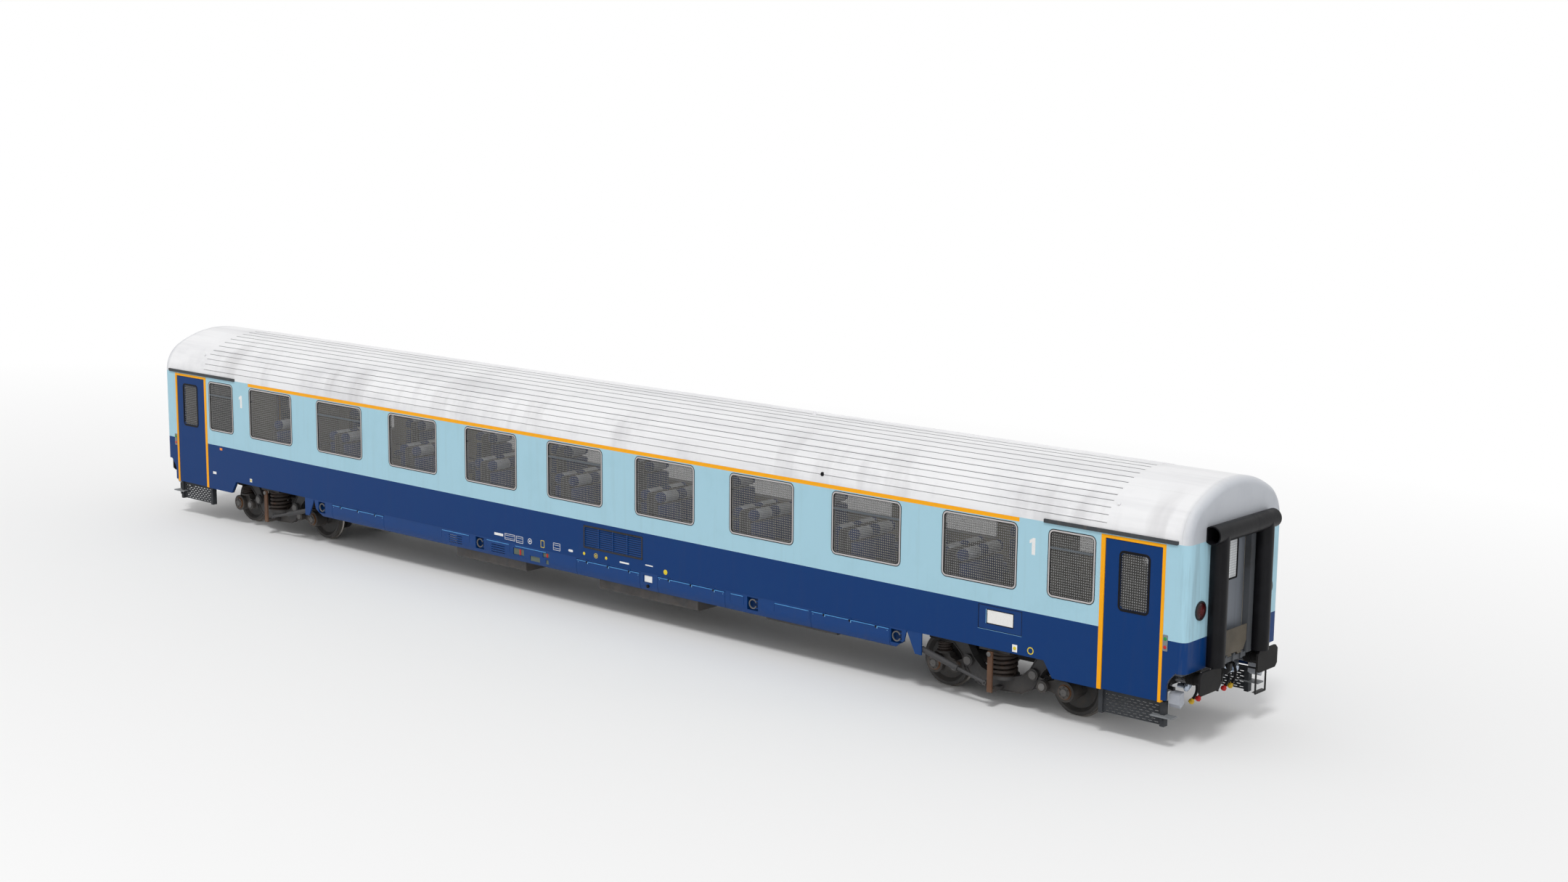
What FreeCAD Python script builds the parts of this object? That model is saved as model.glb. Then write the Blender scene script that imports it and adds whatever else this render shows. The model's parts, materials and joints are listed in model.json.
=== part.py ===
"""Passenger coach, first class, with a side of nine wide windows, on two bogies.

All lengths are in millimetres. +X points to the front end, +Y to the left side, +Z up.
Every piece is drawn with z = 0 at the rail head. save() lifts it by the flange depth, so that
the origin of the finished part lies on the floor, midway between the ends and the sides.
"""

import FreeCAD
import Part
import math
import os

from FreeCAD import Vector

# ---- Whole vehicle ----
LENGTH_OVER_BUFFERS = 26400
BODY_LENGTH = 26100
BODY_WIDTH = 2825
ROOF_TOP = 4050
EAVES = 3200
HAUNCH_RADIUS = 650
END_ROUNDING = 120
WALL = 70
END_WALL = 80
END_SEAM_SETBACK = 130
FLANGE_DEPTH = 30
MOVING_GAP = 6

# ---- Running gear ----
PIVOT_SPACING = 19000
WHEELBASE = 2560
WHEEL_DIAMETER = 920
BACK_TO_BACK = 1360
WHEEL_WIDTH = 135
JOURNAL_CENTRE = 1000
JOURNAL_RADIUS = 65
JOURNAL_END = 1144

# ---- Underframe ----
FLOOR_TOP = 1250
FLOOR_THICKNESS = 80
SOLEBAR_BOTTOM = 985
SOLEBAR_THICKNESS = 60
CROSS_BEARER_BOTTOM = 1010
CROSS_BEARER_PITCH = 1155
HEADSTOCK_FACE_SETBACK = 630
HEADSTOCK_BOTTOM = 900
HEADSTOCK_THICKNESS = 120
BOLSTER_BOTTOM = 905
BUFFING_BEAM = (150, 270)
WELD_GAP = 2
BOLSTER_LENGTH = 600
PIVOT_PIN_RADIUS = 60
PIVOT_PIN_FOOT = 780

# ---- Windows ----
WINDOW_PITCH = 2310
WINDOW_COUNT = 9
WINDOW_WIDTH = 1456
WINDOW_HEIGHT = 1070
WINDOW_CENTRE = 2565
WINDOW_CORNER = 90
SMALL_WINDOW_X = 10991
SMALL_WINDOW_WIDTH = 856
FRAME_WIDTH = 30
FRAME_DEPTH = 60
FRAME_PROUD = 3
GLASS_THICKNESS = 8
GLASS_SETBACK = 12
TRANSOM_HEIGHT = 30
TRANSOM_SHARE = 0.27

# ---- Entrance doors ----
DOOR_SURROUND = (11520, 12660)
DOOR_OPENING = (11595, 12605)
DOOR_BOTTOM = 730
DOOR_TOP = 3120
DOOR_SURROUND_TOP = 3170
DOOR_GAP = 8
DOOR_THICKNESS = 50
DOOR_SETBACK = 5
DOOR_WINDOW_X = 12121
DOOR_WINDOW_Z = 2490
DOOR_WINDOW_WIDTH = 548
DOOR_WINDOW_HEIGHT = 940
DOOR_GASKET = 38
STEP_WELL_DEPTH = 640

# ---- Side skirt between the bogies ----
SKIRT_TOP = 985
SKIRT_RAIL = 23
SKIRT_BOTTOM = 650
SKIRT_BEND = 800
SKIRT_TUCK = 35
SKIRT_THICKNESS = 25
SKIRT_SETBACK = 5
SKIRT_END = 7561
COVER_SKIN = 6
LIP_RADIUS = 7
LIP_DROP = 15
SEAM = 6
FLAP_GAP = 7
HINGE_RADIUS = 8
HINGE_OFFSET = 9
HINGE_STRAP = 5

# ---- End of the body ----
GANGWAY_HALF_WIDTH = 400
GANGWAY_TOP = 3150
PORTAL_WIDTH = 140
PORTAL_PROUD = 30
TUBE_RADIUS = 147
TUBE_WALL = 20
TUBE_X_PROUD = 100
TUBE_Y = 680
TUBE_BOTTOM = 1240
TOP_TUBE_Z = 3300
TOP_TUBE_HALF = 930
BUFFER_Y = 875
BUFFER_Z = 1050
BUFFER_HEAD = (35, 620, 360)
BUFFER_RIBS = 4
BUFFER_RIB_PITCH = 30
LAMP_Y = 1020
LAMP_Z = 2150
LAMP_RADIUS = 150

# ---- Values worked out from the ones above ----
HALF_WIDTH = BODY_WIDTH / 2
HALF_LENGTH = BODY_LENGTH / 2
INNER_HALF_WIDTH = HALF_WIDTH - WALL
INNER_HALF_LENGTH = HALF_LENGTH - END_WALL
END_SEAM = HALF_LENGTH - END_SEAM_SETBACK
FLOOR_UNDERSIDE = FLOOR_TOP - FLOOR_THICKNESS
HEADSTOCK_FACE = LENGTH_OVER_BUFFERS / 2 - HEADSTOCK_FACE_SETBACK
PIVOT_X = PIVOT_SPACING / 2
WHEEL_RADIUS = WHEEL_DIAMETER / 2
HAUNCH_Y = HALF_WIDTH - HAUNCH_RADIUS
CROWN_RISE = ROOF_TOP - EAVES
CROWN_DROP = (HAUNCH_Y**2 - (CROWN_RISE - HAUNCH_RADIUS) ** 2) / (2 * (CROWN_RISE - HAUNCH_RADIUS))
CROWN_RADIUS = CROWN_RISE + CROWN_DROP
HAUNCH_ANGLE = math.atan2(CROWN_DROP, HAUNCH_Y)
FAR = 20000

# The skirt's flaps on one side, each as (name, first x, last x, hinges along it).
FLAPS = (
    ("flap_1", -7220, -5560, 3),
    ("flap_2", 40, 1690, 3),
    ("flap_3", 2140, 3780, 3),
    ("flap_4", 5765, 7460, 3),
)
SIDES = (("right", -1), ("left", 1))
ENDS = (("front", 1), ("rear", -1))


# ---- Small makers ----
def block(x, y, z):
    """Box between the two values of each pair."""
    corner = Vector(min(x), min(y), min(z))
    return Part.makeBox(abs(x[1] - x[0]), abs(y[1] - y[0]), abs(z[1] - z[0]), corner)


def rod(start, end, radius):
    """Round bar from one point to another."""
    run = Vector(*end) - Vector(*start)
    return Part.makeCylinder(radius, run.Length, Vector(*start), run)


def side_plate(points, y0, y1):
    """Plate with an outline in x and z, between two values of y."""
    corners = [Vector(x, y0, z) for x, z in points]
    face = Part.Face(Part.makePolygon(corners + corners[:1]))
    return face.extrude(Vector(0, y1 - y0, 0))


def end_plate(points, x0, x1):
    """Plate with an outline in y and z, between two values of x."""
    corners = [Vector(x0, y, z) for y, z in points]
    face = Part.Face(Part.makePolygon(corners + corners[:1]))
    return face.extrude(Vector(x1 - x0, 0, 0))


def rounded(x, z, width, height, radius, y0, y1):
    """Block through the side with rounded corners, centred on x and z."""
    solid = block((x - width / 2, x + width / 2), (y0, y1), (z - height / 2, z + height / 2))
    corners = [edge for edge in solid.Edges if edge.BoundBox.YLength > abs(y1 - y0) - 1]
    return solid.makeFillet(radius, corners)


def turned(points, origin, axis):
    """Solid of revolution from (distance along the axis, radius) points."""
    profile = [Vector(along, radius, 0) for along, radius in points]
    closed = [Vector(points[0][0], 0, 0)] + profile + [Vector(points[-1][0], 0, 0)]
    face = Part.Face(Part.makePolygon(closed + closed[:1]))
    solid = face.revolve(Vector(0, 0, 0), Vector(1, 0, 0), 360)
    turn = FreeCAD.Rotation(Vector(1, 0, 0), Vector(*axis))
    return solid.transformGeometry(FreeCAD.Placement(Vector(*origin), turn).toMatrix())


def fused(solids):
    """One solid from several that meet."""
    first, rest = solids[0], solids[1:]
    return first.multiFuse(rest).removeSplitter() if rest else first


def other_side(shape):
    return shape.mirror(Vector(0, 0, 0), Vector(0, 1, 0))


def other_end(shape):
    return shape.mirror(Vector(0, 0, 0), Vector(1, 0, 0))


def on_side(shape, sign):
    """The shape as drawn on the left side, or mirrored to the right."""
    return shape if sign > 0 else other_side(shape)


def at_end(shape, sign):
    """The shape as drawn at the front, or mirrored to the rear."""
    return shape if sign > 0 else other_end(shape)


def four(shape):
    """Copies of the shape at both ends of both sides."""
    pair = [shape, other_side(shape)]
    return pair + [other_end(one) for one in pair]


def save(node, shapes):
    """Write a node, lifted from the rail head to the floor."""
    solids = [solid for shape in shapes for solid in shape.Solids]
    whole = solids[0] if len(solids) == 1 else Part.makeCompound(solids)
    whole = whole.copy()
    whole.translate(Vector(0, 0, FLANGE_DEPTH))
    whole.exportStep(os.path.join("parts", node + ".step"))


# ---- Body shell ----
def section(inset, bottom):
    """Edges of the body's cross-section, inset from its outer face, as a closed wire at x = 0."""
    half = HALF_WIDTH - inset
    haunch = HAUNCH_RADIUS - inset
    crown = CROWN_RADIUS - inset

    def on_haunch(angle, sign):
        return Vector(0, sign * (HAUNCH_Y + haunch * math.cos(angle)), EAVES + haunch * math.sin(angle))

    top = Vector(0, 0, EAVES - CROWN_DROP + crown)
    left = [Vector(0, half, bottom), Vector(0, half, EAVES), on_haunch(HAUNCH_ANGLE / 2, 1)]
    left.append(on_haunch(HAUNCH_ANGLE, 1))
    right = [Vector(0, -point.y, point.z) for point in left]
    return Part.Wire([
        Part.makeLine(right[0], left[0]),
        Part.makeLine(left[0], left[1]),
        Part.Arc(left[1], left[2], left[3]).toShape(),
        Part.Arc(left[3], top, right[3]).toShape(),
        Part.Arc(right[3], right[2], right[1]).toShape(),
        Part.makeLine(right[1], right[0]),
    ])


def section_solid(inset, bottom, half_length):
    wire = section(inset, bottom)
    wire.translate(Vector(-half_length, 0, 0))
    return Part.Face(wire).extrude(Vector(2 * half_length, 0, 0))


def outer_body():
    """Closed outer form, with its ends rounded into the sides and roof."""
    solid = section_solid(0, DOOR_BOTTOM - 10, HALF_LENGTH)
    rims = []
    for edge in solid.Edges:
        at_an_end = edge.BoundBox.XLength < 1
        on_the_bottom = edge.BoundBox.ZMax < DOOR_BOTTOM
        if at_an_end and not on_the_bottom:
            rims.append(edge)
    return solid.makeFillet(END_ROUNDING, rims)


def roof_point(distance):
    """Point of the roof and its outward direction, by distance along the roof from the left eave."""
    haunch_length = HAUNCH_RADIUS * HAUNCH_ANGLE
    if distance < haunch_length:
        angle = distance / HAUNCH_RADIUS
        normal = Vector(0, math.cos(angle), math.sin(angle))
        return Vector(0, HAUNCH_Y, EAVES) + normal * HAUNCH_RADIUS, normal
    angle = HAUNCH_ANGLE + (distance - haunch_length) / CROWN_RADIUS
    normal = Vector(0, math.cos(angle), math.sin(angle))
    return Vector(0, 0, EAVES - CROWN_DROP) + normal * CROWN_RADIUS, normal


RIB_HEIGHT = 9
RIB_FOOT = 26
RIB_CROWN = 12
RIB_HALF_LENGTH = 11600
FIRST_RIBS = (159, 282, 404, 527, 650)
RIB_PITCH = 167
CROWN_SEAM = 880
LUG_X = 11720
LUG_DISTANCE = 470
AERIAL_X = 4620


def roof_rib(distance):
    """Pressed bead along the roof, with sloping flanks that start just under the skin."""
    point, normal = roof_point(distance)
    point.x = -RIB_HALF_LENGTH
    across = Vector(0, normal.z, -normal.y)
    foot = point - normal * 2
    crown = point + normal * RIB_HEIGHT
    corners = [
        foot - across * (RIB_FOOT / 2), foot + across * (RIB_FOOT / 2),
        crown + across * (RIB_CROWN / 2), crown - across * (RIB_CROWN / 2),
    ]
    face = Part.Face(Part.makePolygon(corners + corners[:1]))
    return face.extrude(Vector(2 * RIB_HALF_LENGTH, 0, 0))


def roof_ribs():
    """All the beads, evenly pitched over the crown and closer together on the haunches."""
    half_girth = HAUNCH_RADIUS * HAUNCH_ANGLE + CROWN_RADIUS * (math.pi / 2 - HAUNCH_ANGLE)
    distances = list(FIRST_RIBS)
    while distances[-1] + RIB_PITCH < half_girth - RIB_PITCH / 2:
        distances.append(distances[-1] + RIB_PITCH)
    distances.append(half_girth)
    ribs = []
    for distance in distances:
        ribs.append(roof_rib(distance))
        if distance < half_girth:
            ribs.append(other_side(ribs[-1]))
    return ribs


def roof_sheets():
    """Room for the sheets the roof is welded from: a crown, two haunches and a dome at each end."""
    gap = WELD_GAP / 2
    straight = (gap - END_SEAM, END_SEAM - gap)
    sheets = [block(straight, (gap - CROWN_SEAM, CROWN_SEAM - gap), (EAVES, FAR))]
    for sign in (1, -1):
        sheets.append(block(straight, (sign * (CROWN_SEAM + gap), sign * FAR), (EAVES, FAR)))
        sheets.append(block((sign * (END_SEAM + gap), sign * FAR), (-FAR, FAR), (EAVES, FAR)))
    return sheets


def roof_fittings():
    """Lifting lugs beyond the ribs and the stub of an aerial."""
    point, normal = roof_point(LUG_DISTANCE)
    point.x = LUG_X
    start = point - normal * 10
    lug = rod(tuple(start), tuple(point + normal * 28), 26)
    base = Vector(AERIAL_X, 0, ROOF_TOP - 10)
    aerial = Part.makeCone(50, 24, 55, base, Vector(0, 0, 1))
    return four(lug) + [aerial]


def window_places():
    """(centre x, width, whether it has a transom) for one side's windows."""
    places = []
    for number in range(WINDOW_COUNT):
        x = (number - (WINDOW_COUNT - 1) / 2) * WINDOW_PITCH
        places.append((x, WINDOW_WIDTH, number % 3 == 1))
    places.append((SMALL_WINDOW_X, SMALL_WINDOW_WIDTH, True))
    places.append((-SMALL_WINDOW_X, SMALL_WINDOW_WIDTH, True))
    return places


# Lower edge of a side wall from the middle of the coach to its end, as (x, z) points.
WALL_FOOT = (
    (0, 985), (10530, 985), (10700, 722), (DOOR_SURROUND[0], 724),
    (DOOR_SURROUND[1], 770), (12740, 770), (12742, 1010), (12775, 1090), (12890, 1222),
)
VENT = (235, 1767, 1200, 1635)
PANEL = (9260, 10100, 1290, 1685)
PANEL_DEPTH = 20


def side_outline():
    """Outline of a side wall in x and z."""
    foot = list(WALL_FOOT) + [(END_SEAM, 1222), (END_SEAM, EAVES)]
    return foot + [(-x, z) for x, z in reversed(foot) if x > 0]


def body_shell():
    """Roof, two side walls and two end walls, cut from one hollow form."""
    outer = outer_body()
    inner = section_solid(WALL, DOOR_BOTTOM - 200, INNER_HALF_LENGTH)
    cuts = [inner]
    for x, width, _ in window_places():
        cuts.append(rounded(x, WINDOW_CENTRE, width, WINDOW_HEIGHT, WINDOW_CORNER, -HALF_WIDTH - 9, HALF_WIDTH + 9))
    for _, sign in ENDS:
        door = tuple(sign * x for x in DOOR_SURROUND)
        cuts.append(block(door, (-HALF_WIDTH - 9, HALF_WIDTH + 9), (DOOR_BOTTOM - 99, DOOR_SURROUND_TOP)))
    cuts.append(block(VENT[:2], (-HALF_WIDTH - 9, HALF_WIDTH + 9), VENT[2:]))
    for sign in (1, -1):
        face = HALF_WIDTH - PANEL_DEPTH
        cuts.append(block(PANEL[:2], (sign * face, sign * (HALF_WIDTH + 9)), PANEL[2:]))
    half = GANGWAY_HALF_WIDTH
    cuts.append(block((-HALF_LENGTH - 9, HALF_LENGTH + 9), (-half, half), (FLOOR_TOP, GANGWAY_TOP)))
    shell = outer.cut(cuts)

    roof = shell.common(block((-FAR, FAR), (-FAR, FAR), (EAVES, FAR)))
    roof = roof.multiFuse(roof_ribs() + roof_fittings())
    save("roof", [roof.common(sheet) for sheet in roof_sheets()])
    outline = side_outline()
    for side, sign in SIDES:
        space = side_plate(outline, sign * INNER_HALF_WIDTH, sign * (HALF_WIDTH + 9))
        save("side_wall_" + side, [shell.common(space)])
    for end, sign in ENDS:
        ends = (sign * END_SEAM, sign * FAR)
        space = block(ends, (-FAR, FAR), (1222, EAVES))
        wall = shell.common(space)
        fittings = portal_posts() + [bridge_sill()]
        save("end_wall_" + end, [fused([wall] + [at_end(one, sign) for one in fittings])])
    return outer


def portal_posts():
    """Raised posts beside the front gangway."""
    x = (HALF_LENGTH, HALF_LENGTH + PORTAL_PROUD)
    post = block(x, (GANGWAY_HALF_WIDTH, GANGWAY_HALF_WIDTH + PORTAL_WIDTH), (1222, GANGWAY_TOP))
    return [post, other_side(post)]


def gutters(outer):
    """Rain strips over the doors and small windows, closed against the curve of the roof."""
    strip = side_plate([(10470, 3190), (12850, 3190), (12870, 3205), (12870, 3250), (10470, 3250)],
                       HALF_WIDTH - 10, HALF_WIDTH + 25)
    strip = strip.cut(outer)
    save("gutters", four(strip))


# ---- Windows and doors ----
def window_set():
    frames = []
    panes = []
    outer_face = HALF_WIDTH + FRAME_PROUD
    glass_face = HALF_WIDTH - GLASS_SETBACK
    for x, width, has_transom in window_places():
        ring = rounded(x, WINDOW_CENTRE, width, WINDOW_HEIGHT, WINDOW_CORNER, outer_face - FRAME_DEPTH, outer_face)
        clear_width = width - 2 * FRAME_WIDTH
        clear_height = WINDOW_HEIGHT - 2 * FRAME_WIDTH
        corner = WINDOW_CORNER - FRAME_WIDTH
        ring = ring.cut(rounded(x, WINDOW_CENTRE, clear_width, clear_height, corner, 0, FAR))
        glass = rounded(x, WINDOW_CENTRE, clear_width, clear_height, corner, glass_face - GLASS_THICKNESS, glass_face)
        if has_transom:
            z = WINDOW_CENTRE + WINDOW_HEIGHT * (0.5 - TRANSOM_SHARE)
            ends = (x - clear_width / 2, x + clear_width / 2)
            heights = (z - TRANSOM_HEIGHT / 2, z + TRANSOM_HEIGHT / 2)
            bar = block(ends, (outer_face - FRAME_DEPTH, outer_face - 2), heights)
            ring = fused([ring, bar])
            glass = glass.cut(bar)
        frames += [ring, other_side(ring)]
        panes += [glass, other_side(glass)]
    panes += four(door_glass())
    save("window_frames", frames)
    save("window_glass", panes)


def door_glass():
    face = HALF_WIDTH - DOOR_SETBACK - GLASS_SETBACK
    width = DOOR_WINDOW_WIDTH - 2 * DOOR_GASKET
    height = DOOR_WINDOW_HEIGHT - 2 * DOOR_GASKET
    return rounded(DOOR_WINDOW_X, DOOR_WINDOW_Z, width, height, 50, face - GLASS_THICKNESS, face)


def entrance_doors():
    """Four plug doors, each in a surround that is open at the foot."""
    inner_face = INNER_HALF_WIDTH + 15
    surround = block(DOOR_SURROUND, (inner_face - 10, HALF_WIDTH + 4), (DOOR_BOTTOM, DOOR_SURROUND_TOP))
    surround = surround.cut(block(DOOR_OPENING, (0, FAR), (0, DOOR_TOP)))
    save("door_surrounds", four(surround))

    face = HALF_WIDTH - DOOR_SETBACK
    leaf_x = (DOOR_OPENING[0] + DOOR_GAP, DOOR_OPENING[1] - DOOR_GAP)
    leaf = block(leaf_x, (face - DOOR_THICKNESS, face), (DOOR_BOTTOM + DOOR_GAP, DOOR_TOP - DOOR_GAP))
    gasket = rounded(DOOR_WINDOW_X, DOOR_WINDOW_Z, DOOR_WINDOW_WIDTH, DOOR_WINDOW_HEIGHT, 80, face - 9, face + 4)
    width = DOOR_WINDOW_WIDTH - 2 * DOOR_GASKET
    height = DOOR_WINDOW_HEIGHT - 2 * DOOR_GASKET
    hole = rounded(DOOR_WINDOW_X, DOOR_WINDOW_Z, width, height, 50, 0, FAR)
    leaf = fused([leaf, gasket]).cut(hole)
    save("entrance_doors", four(leaf))


STEP_POSTS = ((11515, 11590), (12612, 12690))
STEP_SHEET_Y = 1290
STEP_SLOT = (70, 12)
STEP_SLOT_PITCH = (110, 44)


def step_sheet():
    """Perforated sheet between the posts, its slots staggered row by row."""
    x0, x1 = STEP_POSTS[0][1], STEP_POSTS[1][0]
    z0, z1 = 345, 722
    sheet = block((x0, x1), (STEP_SHEET_Y, STEP_SHEET_Y + 8), (z0, z1))
    slots = []
    rows = int((z1 - z0 - 40) / STEP_SLOT_PITCH[1])
    for row in range(rows):
        z = z0 + 26 + row * STEP_SLOT_PITCH[1]
        x = x0 + 30 + (row % 2) * STEP_SLOT_PITCH[0] / 2
        while x + STEP_SLOT[0] < x1 - 20:
            slots.append(block((x, x + STEP_SLOT[0]), (0, FAR), (z, z + STEP_SLOT[1])))
            x += STEP_SLOT_PITCH[0]
    return sheet.cut(slots)


def door_steps():
    """Posts under each entrance with a perforated sheet and a foot plate at the outer one."""
    posts = [block(x, (STEP_SHEET_Y - 60, 1335), (330, 722)) for x in STEP_POSTS]
    plate = block((12490, 12860), (STEP_SHEET_Y - 60, 1410), (490, 512))
    stub = block((12640, 12670), (1340, 1370), (430, 490))
    save("door_steps", four(fused(posts + [step_sheet(), plate, stub])))


# ---- Floor and underframe ----
def floor():
    """Floor with a well of two treads inside each entrance."""
    deck = block((-INNER_HALF_LENGTH, INNER_HALF_LENGTH), (-INNER_HALF_WIDTH, INNER_HALF_WIDTH),
                 (FLOOR_UNDERSIDE, FLOOR_TOP))
    x = (DOOR_OPENING[0], HEADSTOCK_FACE - HEADSTOCK_THICKNESS - 10)
    inner = INNER_HALF_WIDTH - STEP_WELL_DEPTH
    middle = (inner + INNER_HALF_WIDTH) / 2
    gap = block(x, (inner, FAR), (0, FAR))
    low = FLOOR_TOP - 500
    mid = FLOOR_TOP - 250
    plate = 20
    well = [
        block(x, (inner, inner + plate), (mid - plate, FLOOR_UNDERSIDE + 9)),
        block(x, (inner, middle), (mid - plate, mid)),
        block(x, (middle - plate, middle), (low - plate, mid)),
        block(x, (middle - plate, INNER_HALF_WIDTH), (low - plate, low)),
        block((x[0], x[0] + plate), (inner, INNER_HALF_WIDTH), (low - plate, FLOOR_TOP)),
        block((x[1] - plate, x[1]), (inner, INNER_HALF_WIDTH), (low - plate, FLOOR_TOP)),
    ]
    deck = deck.cut(four(gap))
    pieces = [deck]
    for one in well:
        pieces += four(one)
    save("floor", [fused(pieces)])


def underframe():
    """Sole bars, headstocks, bolsters and bearers under the floor, a weld gap apart."""
    half = INNER_HALF_WIDTH - SOLEBAR_THICKNESS
    z = (SOLEBAR_BOTTOM, FLOOR_UNDERSIDE)
    across = (-half + WELD_GAP, half - WELD_GAP)
    members = []
    for sign in (1, -1):
        y = (sign * half, sign * INNER_HALF_WIDTH)
        members.append(block((-DOOR_SURROUND[0], DOOR_SURROUND[0]), y, z))
    count = int((PIVOT_X - BOLSTER_LENGTH) / CROSS_BEARER_PITCH)
    for number in range(-count, count + 1):
        x = number * CROSS_BEARER_PITCH
        members.append(block((x - 40, x + 40), across, (CROSS_BEARER_BOTTOM, FLOOR_UNDERSIDE)))
    bolster_end = PIVOT_X + BOLSTER_LENGTH / 2
    headstock_back = HEADSTOCK_FACE - HEADSTOCK_THICKNESS
    bolster = block((bolster_end - BOLSTER_LENGTH, bolster_end), across, (BOLSTER_BOTTOM, FLOOR_UNDERSIDE))
    pin = rod((PIVOT_X, 0, PIVOT_PIN_FOOT), (PIVOT_X, 0, BOLSTER_BOTTOM + 9), PIVOT_PIN_RADIUS)
    headstock = block((headstock_back, HEADSTOCK_FACE), across, (HEADSTOCK_BOTTOM, FLOOR_UNDERSIDE))
    beam = block((bolster_end + WELD_GAP, headstock_back - WELD_GAP), BUFFING_BEAM, z)
    for piece in (bolster.fuse(pin), headstock, beam, other_side(beam)):
        members += [piece, other_end(piece)]
    save("underframe", members)


# Cases under the floor as (first x, last x, first y, last y, bottom).
EQUIPMENT = (
    (-6900, -5700, -1180, 1180, 560),
    (-3500, -1500, -1260, -260, 430),
    (-3500, -1500, 260, 1260, 430),
    (500, 3000, -1260, -300, 430),
    (500, 3000, 300, 1260, 430),
    (4500, 6100, -1120, 1120, 520),
)


def underfloor_equipment():
    cases = []
    for x0, x1, y0, y1, bottom in EQUIPMENT:
        case = block((x0, x1), (y0, y1), (bottom, CROSS_BEARER_BOTTOM))
        lengthwise = [edge for edge in case.Edges if edge.BoundBox.XLength > 9 and edge.BoundBox.ZMax < bottom + 9]
        cases.append(case.makeFillet(40, lengthwise))
    save("underfloor_equipment", cases)


# ---- Side skirt and its flaps ----
def hinge(x, z, y):
    """Knuckles of one hinge: (those on the flap, those on the rail)."""
    knuckle = rod((x - 20, y, z), (x + 20, y, z), HINGE_RADIUS)
    face = y - HINGE_OFFSET
    strap = block((x - 20, x + 20), (face, face + HINGE_STRAP), (z - 45, z))
    moving = [knuckle, strap]
    fixed = []
    for side in (-1, 1):
        ends = (x + side * 21, x + side * 39)
        fixed.append(rod((ends[0], y, z), (ends[1], y, z), HINGE_RADIUS))
        fixed.append(block(ends, (face, face + HINGE_STRAP), (z, z + 22)))
    return moving, fixed


def hinge_places(first, last, count):
    pitch = (last - first) / count
    return [first + pitch * (number + 0.5) for number in range(count)]


SKIRT_FACE = HALF_WIDTH - SKIRT_SETBACK
SKIRT_RADIUS = ((SKIRT_BEND - SKIRT_BOTTOM) ** 2 + SKIRT_TUCK**2) / (2 * SKIRT_TUCK)
RAIL_BOTTOM = SKIRT_TOP - SKIRT_RAIL
COVER_TOP = RAIL_BOTTOM - FLAP_GAP
HINGE_Z = RAIL_BOTTOM - FLAP_GAP / 2
HINGE_Y = SKIRT_FACE + HINGE_OFFSET
BRACKET = ((7820, 985), (8130, 985), (8130, 610), (8000, 615))
BRACKET_EYE = (8090, 700)
# Covers that are screwed shut, as (first x, last x, whether it has louvres).
FIXED_COVERS = ((-3780, -2955, True), (-2465, -1800, True), (3910, 4225, False), (4930, 5730, False))
LOUVRE_ROWS = 4
# Openings with a hose holder behind them, as (first x, last x).
HOLDER_OPENINGS = ((-7680, -7460), (-2780, -2540), (4305, 4560), (7487, 7720))
HOLDER_HEIGHTS = (725, 955)
# Pockets of the brake controls, as (first x, last x, bottom, top, whether it has a handle).
POCKETS = (
    (-1700, -1400, 770, 900, True), (-1230, -960, 705, 815, False),
    (-880, -700, 840, 930, True), (-800, -720, 700, 800, False),
)
POCKET_DEPTH = 14
HOLDER_POCKET = (90, 6)
GAUGE = (1735, 2060, 665, 950)


def skirt_sheet(x, outer, inner, top):
    """Stretch of the skirt between two depths behind its face, tucked in towards the foot."""
    rise = SKIRT_BEND - SKIRT_BOTTOM
    centre = SKIRT_FACE - SKIRT_RADIUS

    def bent(depth, share):
        radius = SKIRT_RADIUS - depth
        angle = math.asin(rise / radius) * share
        return Vector(x[0], centre + radius * math.cos(angle), SKIRT_BEND - radius * math.sin(angle))

    outline = []
    for depth in (outer, inner):
        start, middle, end = [bent(depth, share) for share in (0, 0.5, 1)]
        outline.append((Vector(x[0], SKIRT_FACE - depth, top), start, middle, end))
    front, back = outline
    wire = Part.Wire([
        Part.makeLine(front[0], front[1]),
        Part.Arc(front[1], front[2], front[3]).toShape(),
        Part.makeLine(front[3], back[3]),
        Part.Arc(back[3], back[2], back[1]).toShape(),
        Part.makeLine(back[1], back[0]),
        Part.makeLine(back[0], front[0]),
    ])
    return Part.Face(wire).extrude(Vector(x[1] - x[0], 0, 0))


def cover_lip(first, last):
    """Rolled top edge of a cover."""
    z = COVER_TOP - LIP_DROP
    return rod((first + 15, SKIRT_FACE, z), (last - 15, SKIRT_FACE, z), LIP_RADIUS)


def skirt_corners():
    """What is cut away from the skirt's two ends."""
    ends = [(SKIRT_END, SKIRT_BOTTOM - 9), (7770, 790), (7820, SKIRT_TOP), (7900, SKIRT_TOP), (7900, 600)]
    corner = side_plate(ends, 0, FAR)
    return [corner, other_end(corner)]


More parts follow.
